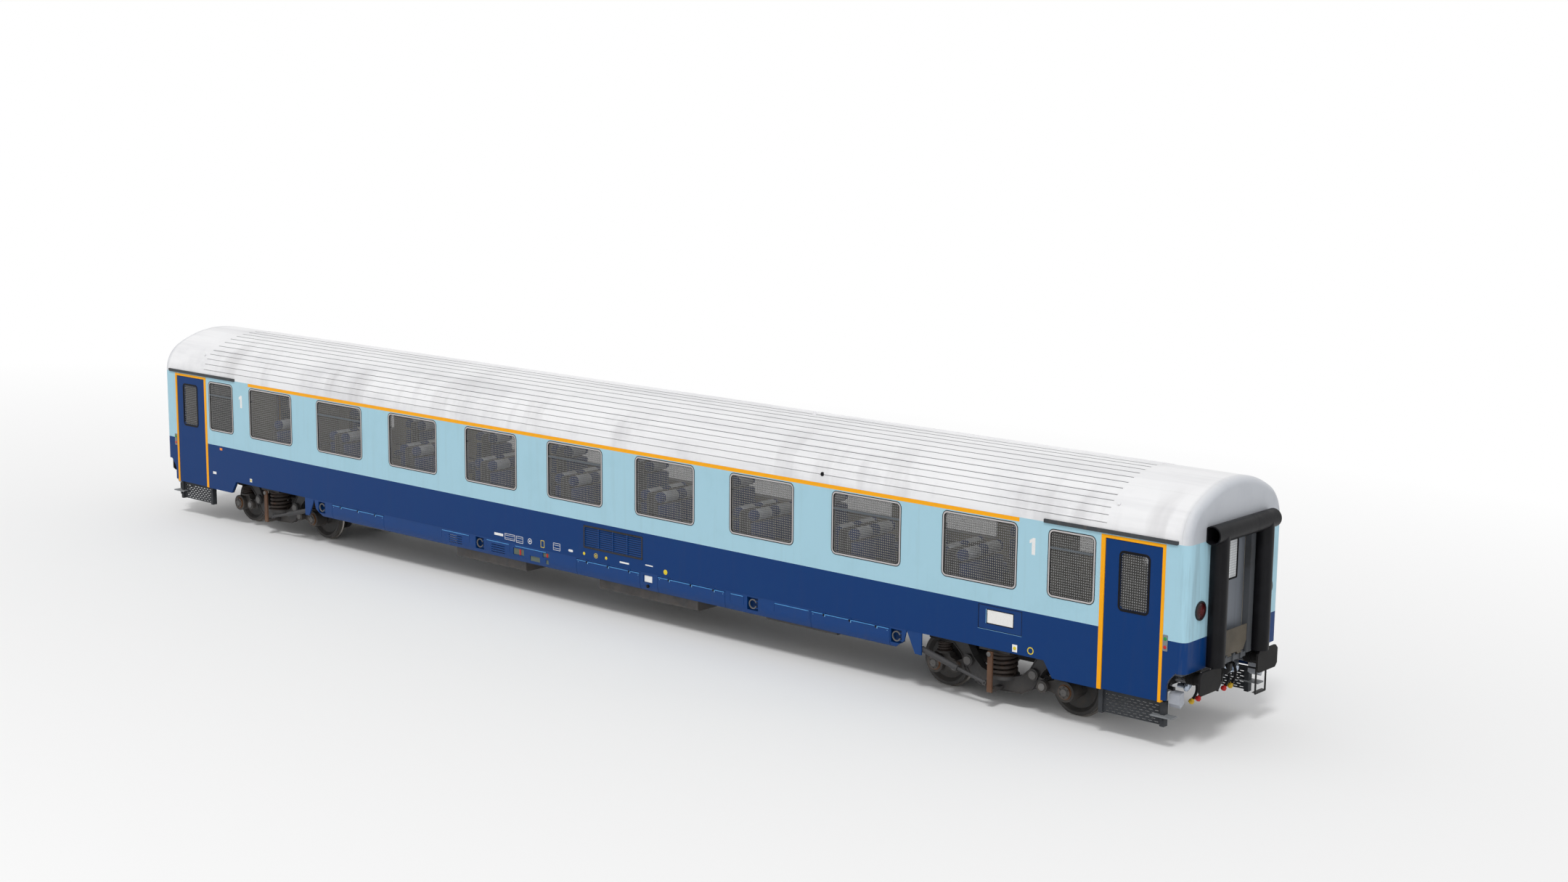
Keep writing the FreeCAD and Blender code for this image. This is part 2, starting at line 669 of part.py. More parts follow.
def skirt_panel():
    """Fixed part of the skirt, with its openings, seams, pockets and louvres."""
    panel = skirt_sheet((-7820, 7820), 0, SKIRT_THICKNESS, SKIRT_TOP)
    cuts = skirt_corners()
    for _, first, last, _ in FLAPS:
        cuts.append(block((first - FLAP_GAP, last + FLAP_GAP), (0, FAR), (0, RAIL_BOTTOM)))
    for first, last, has_louvres in FIXED_COVERS:
        for x in (first, last):
            cuts.append(block((x - SEAM / 2, x + SEAM / 2), (SKIRT_FACE - SEAM, FAR), (0, COVER_TOP)))
            cuts[-1] = cuts[-1].cut(block((x - SEAM, x + SEAM), (0, FAR), (0, SKIRT_BEND - 9)))
        if has_louvres:
            middle = (first + last) / 2
            for row in range(LOUVRE_ROWS):
                z = 730 + row * 46
                cuts.append(block((middle - 190, middle + 190), (0, FAR), (z, z + 14)))
    for first, last in HOLDER_OPENINGS:
        cuts.append(block((first, last), (0, FAR), HOLDER_HEIGHTS))
    for first, last, bottom, top, _ in POCKETS:
        cuts.append(block((first, last), (SKIRT_FACE - POCKET_DEPTH, FAR), (max(bottom, SKIRT_BEND - 95), top)))
    cuts.append(block((GAUGE[0] + 40, GAUGE[1] - 40), (SKIRT_FACE - 12, FAR), (800, 935)))
    return panel.cut(cuts)


def skirt_trim():
    """Lips, hose holders, handles and the gauge's knob, all carried by the fixed skirt."""
    trim = [cover_lip(first, last) for first, last, _ in FIXED_COVERS]
    for first, last in HOLDER_OPENINGS:
        trim += [hose_holder((first + last) / 2, last), holder_pocket(first, last)]
    for first, last, bottom, top, has_handle in POCKETS:
        if has_handle:
            x = first + (last - first) * 0.6
            y = (SKIRT_FACE - POCKET_DEPTH - 2, SKIRT_FACE - 2)
            trim.append(block((x, x + 26), y, (bottom + 12, top - 10)))
    gauge_x = (GAUGE[0] + GAUGE[1]) / 2
    trim.append(rod((gauge_x, SKIRT_FACE - 20, 735), (gauge_x, SKIRT_FACE + 14, 735), 30))
    return trim


def holder_pocket(first, last):
    """Shallow tray that closes the back of a hose holder's opening."""
    depth, sheet = HOLDER_POCKET
    low, high = HOLDER_HEIGHTS
    back = SKIRT_FACE - depth
    front = SKIRT_FACE - SKIRT_THICKNESS + 4
    tray = block((first - sheet, last + sheet), (back, front), (low - sheet, high + sheet))
    return tray.cut([block((first, last), (back + sheet, FAR), (low, high))] + skirt_corners())


def hose_holder(x, edge):
    """Open ring that holds an end of a hose, on an arm from the opening's edge."""
    z = sum(HOLDER_HEIGHTS) / 2
    y = (SKIRT_FACE - 22, SKIRT_FACE - 6)
    ring = rod((x, y[0], z), (x, y[1], z), 88).cut(rod((x, y[0] - 1, z), (x, y[1] + 1, z), 70))
    ring = ring.cut(block((x, x + 99), (0, FAR), (z - 34, z + 34)))
    arms = [block((x + 50, edge + 2), y, (z + side * 62 - 6, z + side * 62 + 6)) for side in (1, -1)]
    return fused([ring] + arms)


def skirts():
    rail = block((-7810, 7810), (INNER_HALF_WIDTH + 3, SKIRT_FACE), (RAIL_BOTTOM, SKIRT_TOP))
    knuckles = []
    for _, first, last, count in FLAPS:
        for x in hinge_places(first, last, count):
            knuckles += hinge(x, HINGE_Z, HINGE_Y)[1]
    bracket = side_plate(BRACKET, SKIRT_FACE - SKIRT_THICKNESS, SKIRT_FACE)
    skirt = fused([skirt_panel(), rail, bracket, other_end(bracket)] + knuckles + skirt_trim())
    for side, sign in SIDES:
        save("skirt_" + side, [on_side(skirt, sign)])


def skirt_flaps():
    """Hinged covers: a curved skin with turned edges, hung from the rail."""
    for name, first, last, count in FLAPS:
        cover = skirt_sheet((first, last), 0, SKIRT_THICKNESS, COVER_TOP)
        hollow = skirt_sheet((first + COVER_SKIN, last - COVER_SKIN), COVER_SKIN, SKIRT_THICKNESS + 9,
                             COVER_TOP - COVER_SKIN)
        hollow = hollow.common(block((first, last), (0, FAR), (SKIRT_BOTTOM + COVER_SKIN, FAR)))
        moving = [cover_lip(first, last)]
        for x in hinge_places(first, last, count):
            moving += hinge(x, HINGE_Z, HINGE_Y)[0]
        cover = fused([cover.cut(hollow)] + moving)
        for side, sign in SIDES:
            save("skirt_" + name + "_" + side, [on_side(cover, sign)])


# ---- Ventilation grille, display panels and door controls ----
def grilles():
    """Bronze frame with four bays of sloping louvres, one on each side."""
    x0, x1, z0, z1 = VENT
    face = HALF_WIDTH + 4
    frame = rounded((x0 + x1) / 2, (z0 + z1) / 2, x1 - x0, z1 - z0, 30, face - 34, face)
    bays = 4
    rim = 36
    bar = 26
    bay = (x1 - x0 - 2 * rim - (bays - 1) * bar) / bays
    louvres = []
    slats = 9
    pitch = (z1 - z0 - 2 * rim) / slats
    for number in range(bays):
        left = x0 + rim + number * (bay + bar)
        frame = frame.cut(block((left, left + bay), (0, FAR), (z0 + rim, z1 - rim)))
        for slat in range(slats):
            z = z0 + rim + slat * pitch + 4
            louvres.append(louvre(left, left + bay, z, pitch, face))
    grille = fused([frame] + louvres)
    save("ventilation_grilles", [grille, other_side(grille)])


def louvre(x0, x1, z, pitch, face):
    corners = [(face - 6, z), (face - 4, z + 4), (face - 30, z + pitch), (face - 32, z + pitch - 4)]
    points = [Vector(x0 - 2, y, height) for y, height in corners]
    return Part.Face(Part.makePolygon(points + points[:1])).extrude(Vector(x1 - x0 + 4, 0, 0))


def display_panels():
    x0, x1, z0, z1 = PANEL
    face = HALF_WIDTH - PANEL_DEPTH
    panel = block((x0, x1), (face, HALF_WIDTH - 4), (z0, z1))
    screen = block((9420, 9940), (HALF_WIDTH - 9, FAR), (1390, 1620))
    panel = panel.cut(screen)
    save("display_panels", [panel, other_side(panel)] + four(door_control()))


def door_control():
    """Small plate beside a door with two push buttons."""
    plate = rounded(12705, 1665, 84, 250, 14, HALF_WIDTH, HALF_WIDTH + 8)
    buttons = [rod((12705, HALF_WIDTH, z), (12705, HALF_WIDTH + 14, z), 22) for z in (1600, 1730)]
    return fused([plate] + buttons)


# ---- Ends ----
def d_tube(start, end, radius):
    """Round bar kept only in front of the end wall."""
    front = block((HALF_LENGTH, FAR), (-FAR, FAR), (-FAR, FAR))
    return rod(start, end, radius).common(front)


def gangway_tubes():
    """Rubber walls round each gangway: two posts under a longer cross tube, hollow and open ended."""
    x = HALF_LENGTH + TUBE_X_PROUD
    inner = TUBE_RADIUS - TUBE_WALL
    outside = [d_tube((x, -TOP_TUBE_HALF, TOP_TUBE_Z), (x, TOP_TUBE_HALF, TOP_TUBE_Z), TUBE_RADIUS)]
    inside = [rod((x, -TOP_TUBE_HALF - 9, TOP_TUBE_Z), (x, TOP_TUBE_HALF + 9, TOP_TUBE_Z), inner)]
    for y in (TUBE_Y, -TUBE_Y):
        outside.append(d_tube((x, y, TUBE_BOTTOM), (x, y, TOP_TUBE_Z), TUBE_RADIUS))
        inside.append(rod((x, y, TUBE_BOTTOM - 9), (x, y, TOP_TUBE_Z - TUBE_RADIUS), inner))
    keep = block((HALF_LENGTH + TUBE_WALL, FAR), (-FAR, FAR), (-FAR, FAR))
    hollow = fused(inside).common(keep)
    tubes = fused(outside).cut(hollow)
    save("gangway_tubes", [tubes, other_end(tubes)])


DOOR_LEAF = 35
END_DOOR_OVERLAP = 40


def end_doors():
    """Sliding leaf inside each end wall."""
    half = GANGWAY_HALF_WIDTH + END_DOOR_OVERLAP
    face = INNER_HALF_LENGTH - MOVING_GAP
    leaf = block((face - DOOR_LEAF, face), (-half, half), (FLOOR_TOP + MOVING_GAP, GANGWAY_TOP + 20))
    leaf = leaf.cut(block((0, FAR), (-200, 200), (2450, 3060)))
    pane = block((face - 22, face - 14), (-200, 200), (2450, 3060))
    leaf = leaf.fuse(pane)
    for end, sign in ENDS:
        save("end_door_" + end, [at_end(leaf, sign)])


BRIDGE_HALF_WIDTH = 360
BRIDGE_TOP = 1700
BRIDGE_HINGE = (HALF_LENGTH + 34, 1282)


def bridge_plates():
    """Tread plate between two coaches, folded up against the gangway."""
    x, z = BRIDGE_HINGE
    corners = [
        (-BRIDGE_HALF_WIDTH + 90, z + 22), (BRIDGE_HALF_WIDTH - 90, z + 22), (BRIDGE_HALF_WIDTH, z + 160),
        (BRIDGE_HALF_WIDTH, BRIDGE_TOP), (-BRIDGE_HALF_WIDTH, BRIDGE_TOP), (-BRIDGE_HALF_WIDTH, z + 160),
    ]
    plate = end_plate(corners, x - 4, x + 4)
    knuckles = [rod((x, y - 60, z), (x, y + 60, z), 14) for y in (-150, 150)]
    lugs = [block((x - 4, x + 4), (y - 60, y + 60), (z, z + 30)) for y in (-150, 150)]
    plate = fused([plate] + knuckles + lugs)
    for end, sign in ENDS:
        save("bridge_plate_" + end, [at_end(plate, sign)])


def bridge_sill():
    """Sill under the gangway that holds the bridge plate's pin."""
    x, z = BRIDGE_HINGE
    sill = block((HALF_LENGTH, x - 20), (-GANGWAY_HALF_WIDTH, GANGWAY_HALF_WIDTH), (FLOOR_UNDERSIDE, FLOOR_TOP - 2))
    ears = []
    for y in (-235, 0, 235):
        ears.append(rod((x, y - 20, z), (x, y + 20, z), 14))
        ears.append(block((HALF_LENGTH, x), (y - 20, y + 20), (FLOOR_UNDERSIDE, z - 4)))
    return fused([sill] + ears)


def buffers():
    """Side buffers: base, casing with two collars, plunger and a wide head."""
    depth, width, height = BUFFER_HEAD
    tip = LENGTH_OVER_BUFFERS / 2
    face = HEADSTOCK_FACE
    stem = [(face + 25, 108)]
    for number in range(BUFFER_RIBS):
        start = face + 250 + number * BUFFER_RIB_PITCH
        stem += [(start, 108), (start + 4, 116), (start + 18, 116), (start + 22, 108)]
    stem += [(face + 375, 108), (face + 375, 92), (tip - depth, 92)]
    body = turned(stem, (0, BUFFER_Y, BUFFER_Z), (1, 0, 0))
    base = block((face, face + 25), (BUFFER_Y - 180, BUFFER_Y + 180), (FLOOR_UNDERSIDE - 268, FLOOR_UNDERSIDE - 2))
    half, high, clip = width / 2, height / 2, 60
    corners = [
        (half - clip, -high), (half, -high + clip), (half, high - clip), (half - clip, high),
        (-half + clip, high), (-half, high - clip), (-half, -high + clip), (-half + clip, -high),
    ]
    head = end_plate([(BUFFER_Y + y, BUFFER_Z + z) for y, z in corners], tip - depth, tip)
    save("buffers", four(fused([base, body, head])))


def draw_gear():
    """Draw hook with its plate and a screw coupling hung from it."""
    face = HEADSTOCK_FACE
    plate = block((face, face + 30), (-140, 140), (930, 1160))
    shank = block((face + 30, face + 260), (-35, 35), (1010, 1080))
    hook = side_plate([
        (face + 250, 1000), (face + 330, 940), (face + 430, 950), (face + 480, 1010), (face + 480, 1120),
        (face + 435, 1130), (face + 430, 1050), (face + 390, 1010), (face + 340, 1020), (face + 300, 1100),
        (face + 250, 1100),
    ], -30, 30)
    pin = rod((face + 300, -75, 1030), (face + 300, 75, 1030), 22)
    links = []
    for y in (-70, 50):
        links.append(side_plate([(face + 275, 1050), (face + 325, 1050), (face + 300, 760), (face + 250, 760)],
                                y, y + 20))
    screw = rod((face + 275, -90, 780), (face + 275, 90, 780), 30)
    spindle = rod((face + 275, 0, 790), (face + 255, 0, 640), 22)
    gear = fused([plate, shank, hook, pin, screw, spindle] + links)
    save("draw_gear", [gear, other_end(gear)])


def tail_lamps():
    lamp = turned([(0, LAMP_RADIUS), (18, LAMP_RADIUS), (18, LAMP_RADIUS - 22), (30, LAMP_RADIUS - 45)],
                  (HALF_LENGTH, LAMP_Y, LAMP_Z), (1, 0, 0))
    save("tail_lamps", four(lamp))


# Brake hoses of one end as (name, side sign, y, first x); the route is a list of (x, z) from the cock.
HOSE_DIAMETER = 44
HOSE_PLACES = (("1", -590), ("2", -390), ("3", 390), ("4", 590))
HOSE_ROUTE = ((70, 0, 0), (150, 3, -30), (215, -2, -110), (240, 3, -210), (225, -2, -310), (180, 2, -385))
COCK_Z = 1020


def hose_points(y):
    """Route of one hose, from its cock to its head."""
    return [Vector(HEADSTOCK_FACE + dx, y + dy, COCK_Z + dz) for dx, dy, dz in HOSE_ROUTE]


def hose_path(points):
    """Straight runs joined by tangent arcs, each as large as its two runs allow."""
    edges = []
    here = points[0]
    radii = []
    for before, corner, after in zip(points, points[1:], points[2:]):
        back = (before - corner).normalize()
        ahead = (after - corner).normalize()
        half_turn = (math.pi - back.getAngle(ahead)) / 2
        reach = 0.45 * min((before - corner).Length, (after - corner).Length)
        radii.append(reach / math.tan(half_turn))
        middle = (back + ahead).normalize()
        first = corner + back * reach
        last = corner + ahead * reach
        inset = radii[-1] * (1 / math.cos(half_turn) - 1)
        edges.append(Part.makeLine(here, first))
        edges.append(Part.Arc(first, corner + middle * inset, last).toShape())
        here = last
    edges.append(Part.makeLine(here, points[-1]))
    return Part.Wire(edges), radii


def brake_hoses():
    heads = []
    for name, y in HOSE_PLACES:
        points = hose_points(y)
        path, radii = hose_path(points)
        along = points[1] - points[0]
        circle = Part.Wire([Part.makeCircle(HOSE_DIAMETER / 2, points[0], along)])
        tube = path.makePipeShell([circle], True, True)
        for end, sign in ENDS:
            save("brake_hose_" + end + "_" + name, [at_end(tube, sign)])
        heads.append(hose_head(points[-1], points[-1] - points[-2]))
        print("hose", name, "length", round(path.Length), "radii", [round(one) for one in radii],
              "volume", round(tube.Volume / (math.pi * HOSE_DIAMETER**2 / 4 * path.Length), 4))
    save("hose_heads", heads + [other_end(head) for head in heads])


def hose_head(at, direction):
    """Round coupling head on the end of a hose."""
    profile = [(0, 28), (35, 28), (50, 45), (85, 45), (100, 26)]
    return turned(profile, tuple(at), tuple(direction.normalize()))


GRAB_BAR = ((0, 1090, 884), (490, 1090, 884), (490, 1090, 470), (490, 780, 470), (490, 780, 884), (0, 780, 884))
GRAB_BAR_RADIUS = 15
GRAB_BAR_TREAD = (60, 8)
LIGHTING_SOCKET = (635, 868)


def grab_bar():
    """Bent bar under one buffer, with a narrow tread on its foot."""
    points = [Vector(HEADSTOCK_FACE + dx, y, z) for dx, y, z in GRAB_BAR]
    pieces = [rod(tuple(a), tuple(b), GRAB_BAR_RADIUS) for a, b in zip(points, points[1:])]
    pieces += [Part.makeSphere(GRAB_BAR_RADIUS, point) for point in points[1:-1]]
    x, first, z = tuple(points[2])
    last = points[3].y
    width, thickness = GRAB_BAR_TREAD
    pieces.append(block((x - width, x), (last, first), (z + 8, z + 8 + thickness)))
    return fused(pieces)


def lighting_socket():
    """Eight-sided cable socket beside a buffer."""
    y, z = LIGHTING_SOCKET
    x = HEADSTOCK_FACE
    body = end_plate(octagon(y, z, 60), x, x + 70)
    collar = end_plate(octagon(y, z, 88), x + 70, x + 135)
    return fused([body, collar])


def octagon(y, z, radius):
    turns = [(number + 0.5) * math.pi / 4 for number in range(8)]
    return [(y + radius * math.cos(turn), z + radius * math.sin(turn)) for turn in turns]


def end_fittings():
    """Pipe cocks, cable sockets and grab bars on the headstocks."""
    pieces = []
    face = HEADSTOCK_FACE
    for _, y in HOSE_PLACES:
        start, onward = hose_points(y)[:2]
        along = (onward - start).normalize()
        cock = turned([(0, 40), (22, 40), (22, 30), (50, 30)], (face, y, COCK_Z), (1, 0, 0))
        nozzle = rod(tuple(start - along * 45), tuple(start), 28)
        handle = block((face + 24, face + 44), (y - 10, y + 10), (COCK_Z + 20, COCK_Z + 95))
        pieces.append(fused([cock, nozzle, handle]))
    bar = grab_bar()
    pieces += [other_end(piece) for piece in pieces]
    pieces += four(socket_box()) + four(lighting_socket()) + [bar, other_side(other_end(bar))]
    save("end_fittings", pieces)


def socket_box():
    """Faceted case of the train-line socket under a buffer."""
    x = HEADSTOCK_FACE
    corners = [(1130, 700), (1230, 640), (1270, 700), (1270, 850), (1150, 890)]
    case = end_plate(corners, x + 150, x + 340)
    arm = block((x, x + 200), (1170, 1230), (HEADSTOCK_BOTTOM + 5, HEADSTOCK_BOTTOM + 40))
    hanger = block((x + 150, x + 200), (1170, 1230), (840, HEADSTOCK_BOTTOM + 5))
    return fused([case, arm, hanger])


# ---- Interior ----
PARTITION_X = 10430
PARTITION_THICKNESS = 30


# Outlines of a seat's back and base, as (distance from the line between two rows, height) points.
SEAT_BACK = ((60, 0), (340, 0), (340, 480), (305, 1000), (290, 1190), (250, 1240), (95, 1240), (60, 1200))
SEAT_BASE = ((344, 0), (560, 0), (800, 380), (800, 450), (770, 470), (344, 500))
SEAT_BLOCKS = ((-1285, -745), (-735, -195), (745, 1285))
SEAT_PITCH = 2250
FIRST_SEATS = 1830
SEAT_ROOM = 1000


def seats():
    """Rows of seats back to back, from the front partition as far as the room goes."""
    rows = []
    line = PARTITION_X - FIRST_SEATS
    while line > -PARTITION_X + SEAT_ROOM:
        facing = (1, -1) if line > -PARTITION_X + FIRST_SEATS else (1,)
        for sign in facing:
            for outline in (SEAT_BACK, SEAT_BASE):
                points = [(line + sign * x, FLOOR_TOP + z) for x, z in outline]
                for y0, y1 in SEAT_BLOCKS:
                    rows.append(side_plate(points, y0, y1))
        line -= SEAT_PITCH
    save("seats", rows)


def partitions():
    """Bulkheads across the saloon's ends, with a doorway at the gangway."""
    inside = section_solid(WALL, FLOOR_TOP, INNER_HALF_LENGTH)
    wall = block((PARTITION_X, PARTITION_X + PARTITION_THICKNESS), (-FAR, FAR), (FLOOR_TOP, FAR)).common(inside)
    wall = wall.cut(block((0, FAR), (-370, 370), (0, 3200)))
    save("partitions", [wall, other_end(wall)])


def luggage_racks():
    """Long shelves above the windows, on arms to the wall."""
    racks = []
    length = PARTITION_X - 60
    shelf = block((-length, length), (INNER_HALF_WIDTH - 330, INNER_HALF_WIDTH - 30), (3130, 3150))
    arms = []
    for number in range(WINDOW_COUNT + 1):
        x = (number - WINDOW_COUNT / 2) * WINDOW_PITCH
        x = max(-length + 20, min(length - 20, x))
        arms.append(block((x - 15, x + 15), (INNER_HALF_WIDTH - 330, INNER_HALF_WIDTH), (3110, 3130)))
    rack = fused([shelf] + arms)
    save("luggage_racks", [rack, other_side(rack)])


# ---- Bogies ----
AXLE_X = WHEELBASE / 2
DISC_PLACES = (-360, 360)
SIDE_MEMBER = (920, 1080)
ARM_PIVOT = (860, 470)
ARM_BOSS_RADIUS = 62
TRANSOM_X = 640
TRANSOM_Z = 610
TRANSOM_RADIUS = 100
FLANGE_THICKNESS = 14
PLATE_INSET = 16
PRIMARY_X = AXLE_X - 100
PRIMARY_SEAT = 665
TURRET_TOP = 880
SPRING_SEAT = 496
SPRING_TOP = 900
# Half outline of a side member, from its middle outwards along the foot and back along the top.
MEMBER_FOOT = ((0, 215), (400, 235), (600, 340), (715, 510), (800, 680), (960, 830), (1400, 830))
MEMBER_HEAD = ((1450, 850), (1450, 880), (670, 880), (550, 680), (380, 530), (185, 475), (0, 458))


def mirrored_outline(half):
    """Close a half outline with its mirror image about x = 0."""
    return list(half) + [(-x, z) for x, z in reversed(half) if x > 0]


def side_member():
    """Swan-necked box beam whose flanges stand out past its side plates."""
    outline = mirrored_outline(MEMBER_FOOT + MEMBER_HEAD)
    member = side_plate(outline, *SIDE_MEMBER)
    corners = [Vector(x, 0, z) for x, z in outline]
    inside = Part.Face(Part.makePolygon(corners + corners[:1])).makeOffset2D(-FLANGE_THICKNESS)
    for start, depth in ((SIDE_MEMBER[0], PLATE_INSET), (SIDE_MEMBER[1], -PLATE_INSET)):
        recess = inside.extrude(Vector(0, depth, 0))
        recess.translate(Vector(0, start, 0))
        member = member.cut(recess)
    return member


def bogie_frame():
    """Two side members joined by round transoms and a centre turret for the pivot."""
    member = side_member()
    pieces = [member, other_side(member)]
    for sign in (1, -1):
        x = sign * TRANSOM_X
        pieces.append(rod((x, -1130, TRANSOM_Z), (x, 1130, TRANSOM_Z), TRANSOM_RADIUS))
    pieces.append(block((-TRANSOM_X, TRANSOM_X), (-230, 230), (520, 700)))
    pieces.append(rod((0, 0, 690), (0, 0, TURRET_TOP), PIVOT_PIN_RADIUS + 70))
    seat = rod((0, JOURNAL_CENTRE, 440), (0, JOURNAL_CENTRE, SPRING_SEAT), 260)
    pieces += [seat, other_side(seat)]
    lug_outline = [(690, 400), (900, 390), (930, 470), (880, 560), (750, 600)]
    px, pz = ARM_PIVOT
    for y in ((895, 920), (1080, 1105)):
        lug = side_plate(lug_outline, *y)
        pieces += four(lug.cut(rod((px, 0, pz), (px, FAR, pz), ARM_BOSS_RADIUS + 0.5)))
    for sign in (1, -1):
        link = block((-48, 48), (sign * 1375, sign * 1405), (255, 930))
        foot = block((-48, 48), (sign * 1000, sign * 1390), (255, 310))
        pin = rod((-20, sign * 1350, 885), (-20, sign * 1410, 885), 46)
        pieces += [link, foot, pin]
    socket = rod((0, 0, PIVOT_PIN_FOOT - 20), (0, 0, FAR), PIVOT_PIN_RADIUS + 5)
    return fused(pieces).cut(socket)


def swing_arms():
    """Arms that carry the axle boxes, each with its spring platform."""
    px, pz = ARM_PIVOT
    outline = [
        (px, pz - 66), (AXLE_X - 60, 330), (AXLE_X, 300), (AXLE_X + 60, 310), (AXLE_X + 150, 400),
        (AXLE_X + 150, 520), (AXLE_X + 40, 640), (AXLE_X - 240, 640), (AXLE_X - 270, 580), (px, pz + 66),
    ]
    arm = side_plate(outline, SIDE_MEMBER[0] + 5, SIDE_MEMBER[1] - 5)
    boss = rod((px, SIDE_MEMBER[0] - 15, pz), (px, SIDE_MEMBER[1] + 110, pz), ARM_BOSS_RADIUS)
    hub = rod((px, SIDE_MEMBER[1] + 30, pz), (px, SIDE_MEMBER[1] + 105, pz), 96)
    box = rod((AXLE_X, 900, WHEEL_RADIUS), (AXLE_X, 1160, WHEEL_RADIUS), 165)
    cap = rod((AXLE_X, 1160, WHEEL_RADIUS), (AXLE_X, 1190, WHEEL_RADIUS), 110)
    platform = rod((PRIMARY_X, JOURNAL_CENTRE, 630), (PRIMARY_X, JOURNAL_CENTRE, PRIMARY_SEAT), 140)
    bore = rod((AXLE_X, 0, WHEEL_RADIUS), (AXLE_X, JOURNAL_END + 8, WHEEL_RADIUS), JOURNAL_RADIUS + 1)
    arm = fused([arm, boss, hub, box, cap, platform]).cut(bore)
    return four(arm)


def coil_springs():
    """Primary springs on the arms and secondary nests under the body."""
    primary = rod((PRIMARY_X, JOURNAL_CENTRE, PRIMARY_SEAT), (PRIMARY_X, JOURNAL_CENTRE, 830), 125)
    secondary = rod((0, JOURNAL_CENTRE, SPRING_SEAT), (0, JOURNAL_CENTRE, SPRING_TOP), 235)
    return four(primary) + [secondary, other_side(secondary)]


def brake_gear():
    """Calipers hung from the transoms, one on each brake disc."""
    calipers = []
    for y in DISC_PLACES:
        hanger = block((TRANSOM_X + 60, 900), (y - 110, y + 110), (560, 640))
        pads = [block((890, 1120), (y + side * 62, y + side * 100), (380, 560)) for side in (1, -1)]
        stems = [block((850, 930), (y + side * 62, y + side * 110), (500, 640)) for side in (1, -1)]
        calipers.append(fused([hanger] + pads + stems).cut(
            rod((TRANSOM_X, -FAR, TRANSOM_Z), (TRANSOM_X, FAR, TRANSOM_Z), TRANSOM_RADIUS)))
    return calipers + [other_end(caliper) for caliper in calipers]


def wheelset():
    """Axle with two monobloc wheels and two brake discs, turned about Y."""
    flange = WHEEL_RADIUS + FLANGE_DEPTH
    inner = BACK_TO_BACK / 2
    outer = inner + WHEEL_WIDTH
    half = [
        (0, 85), (inner - 20, 85), (inner - 10, 130), (inner + 45, 150), (inner + 45, 340), (inner, 395),
        (inner, flange - 6), (inner + 22, flange), (inner + 34, WHEEL_RADIUS + 2), (outer, WHEEL_RADIUS - 10),
        (outer, 395), (inner + 75, 340), (inner + 75, 150), (outer + 15, 125), (outer + 20, JOURNAL_RADIUS),
        (JOURNAL_END, JOURNAL_RADIUS),
    ]
    profile = [(-along, radius) for along, radius in reversed(half[1:])] + half
    axle = turned(profile, (0, 0, WHEEL_RADIUS), (0, 1, 0))
    discs = [rod((0, y - 55, WHEEL_RADIUS), (0, y + 55, WHEEL_RADIUS), 305) for y in DISC_PLACES]
    return fused([axle] + discs)


def bogies():
    parts = {
        "frame": [bogie_frame()],
        "swing_arms": swing_arms(),
        "coil_springs": coil_springs(),
        "brake_gear": brake_gear(),
    }
    axles = wheelset()
    for end, sign in ENDS:
        shift = Vector(sign * PIVOT_X, 0, 0)
        for name, shapes in parts.items():
            placed = [shape.translated(shift) for shape in shapes]
            save("bogie_" + name + "_" + end, placed)
        for number, place in (("1", AXLE_X), ("2", -AXLE_X)):
            placed = axles.translated(Vector(sign * (PIVOT_X + place), 0, 0))
            save("wheelset_" + end + "_" + number, [placed])


DAMPER_Y = 1330
DAMPER_JOINT = (8820, 510)
DAMPER_END = (9360, 380)


def yaw_dampers():
    """Dampers from the skirt's brackets towards the bogie, free of it at the rod's eye."""
    start = (BRACKET_EYE[0], DAMPER_Y, BRACKET_EYE[1])
    middle = (DAMPER_JOINT[0], DAMPER_Y, DAMPER_JOINT[1])
    end = (DAMPER_END[0], DAMPER_Y, DAMPER_END[1])
    tube = rod(start, middle, 50)
    stem = rod(middle, end, 30)
    pin = rod((start[0], DAMPER_Y - 40, start[2]), (start[0], SKIRT_FACE - SKIRT_THICKNESS, start[2]), 22)
    eye = rod((end[0], DAMPER_Y - 25, end[2]), (end[0], DAMPER_Y + 25, end[2]), 42)
    bore = rod((end[0], DAMPER_Y - 26, end[2]), (end[0], DAMPER_Y + 26, end[2]), 18)
    damper = fused([tube, stem, pin, eye]).cut(bore)
    save("yaw_dampers", four(damper))


def main():
    os.makedirs("parts", exist_ok=True)
    outer = body_shell()
    gutters(outer)
    window_set()
    entrance_doors()
    door_steps()
    floor()
    underframe()
    underfloor_equipment()
    skirts()
    skirt_flaps()
    grilles()
    display_panels()
    gangway_tubes()
    end_doors()
    bridge_plates()
    buffers()
    draw_gear()
    tail_lamps()
    brake_hoses()
    end_fittings()
    seats()
    partitions()
    luggage_racks()
    bogies()
    yaw_dampers()


main()
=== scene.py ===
import json
import math

import bmesh
import bpy
from mathutils import Matrix, Vector


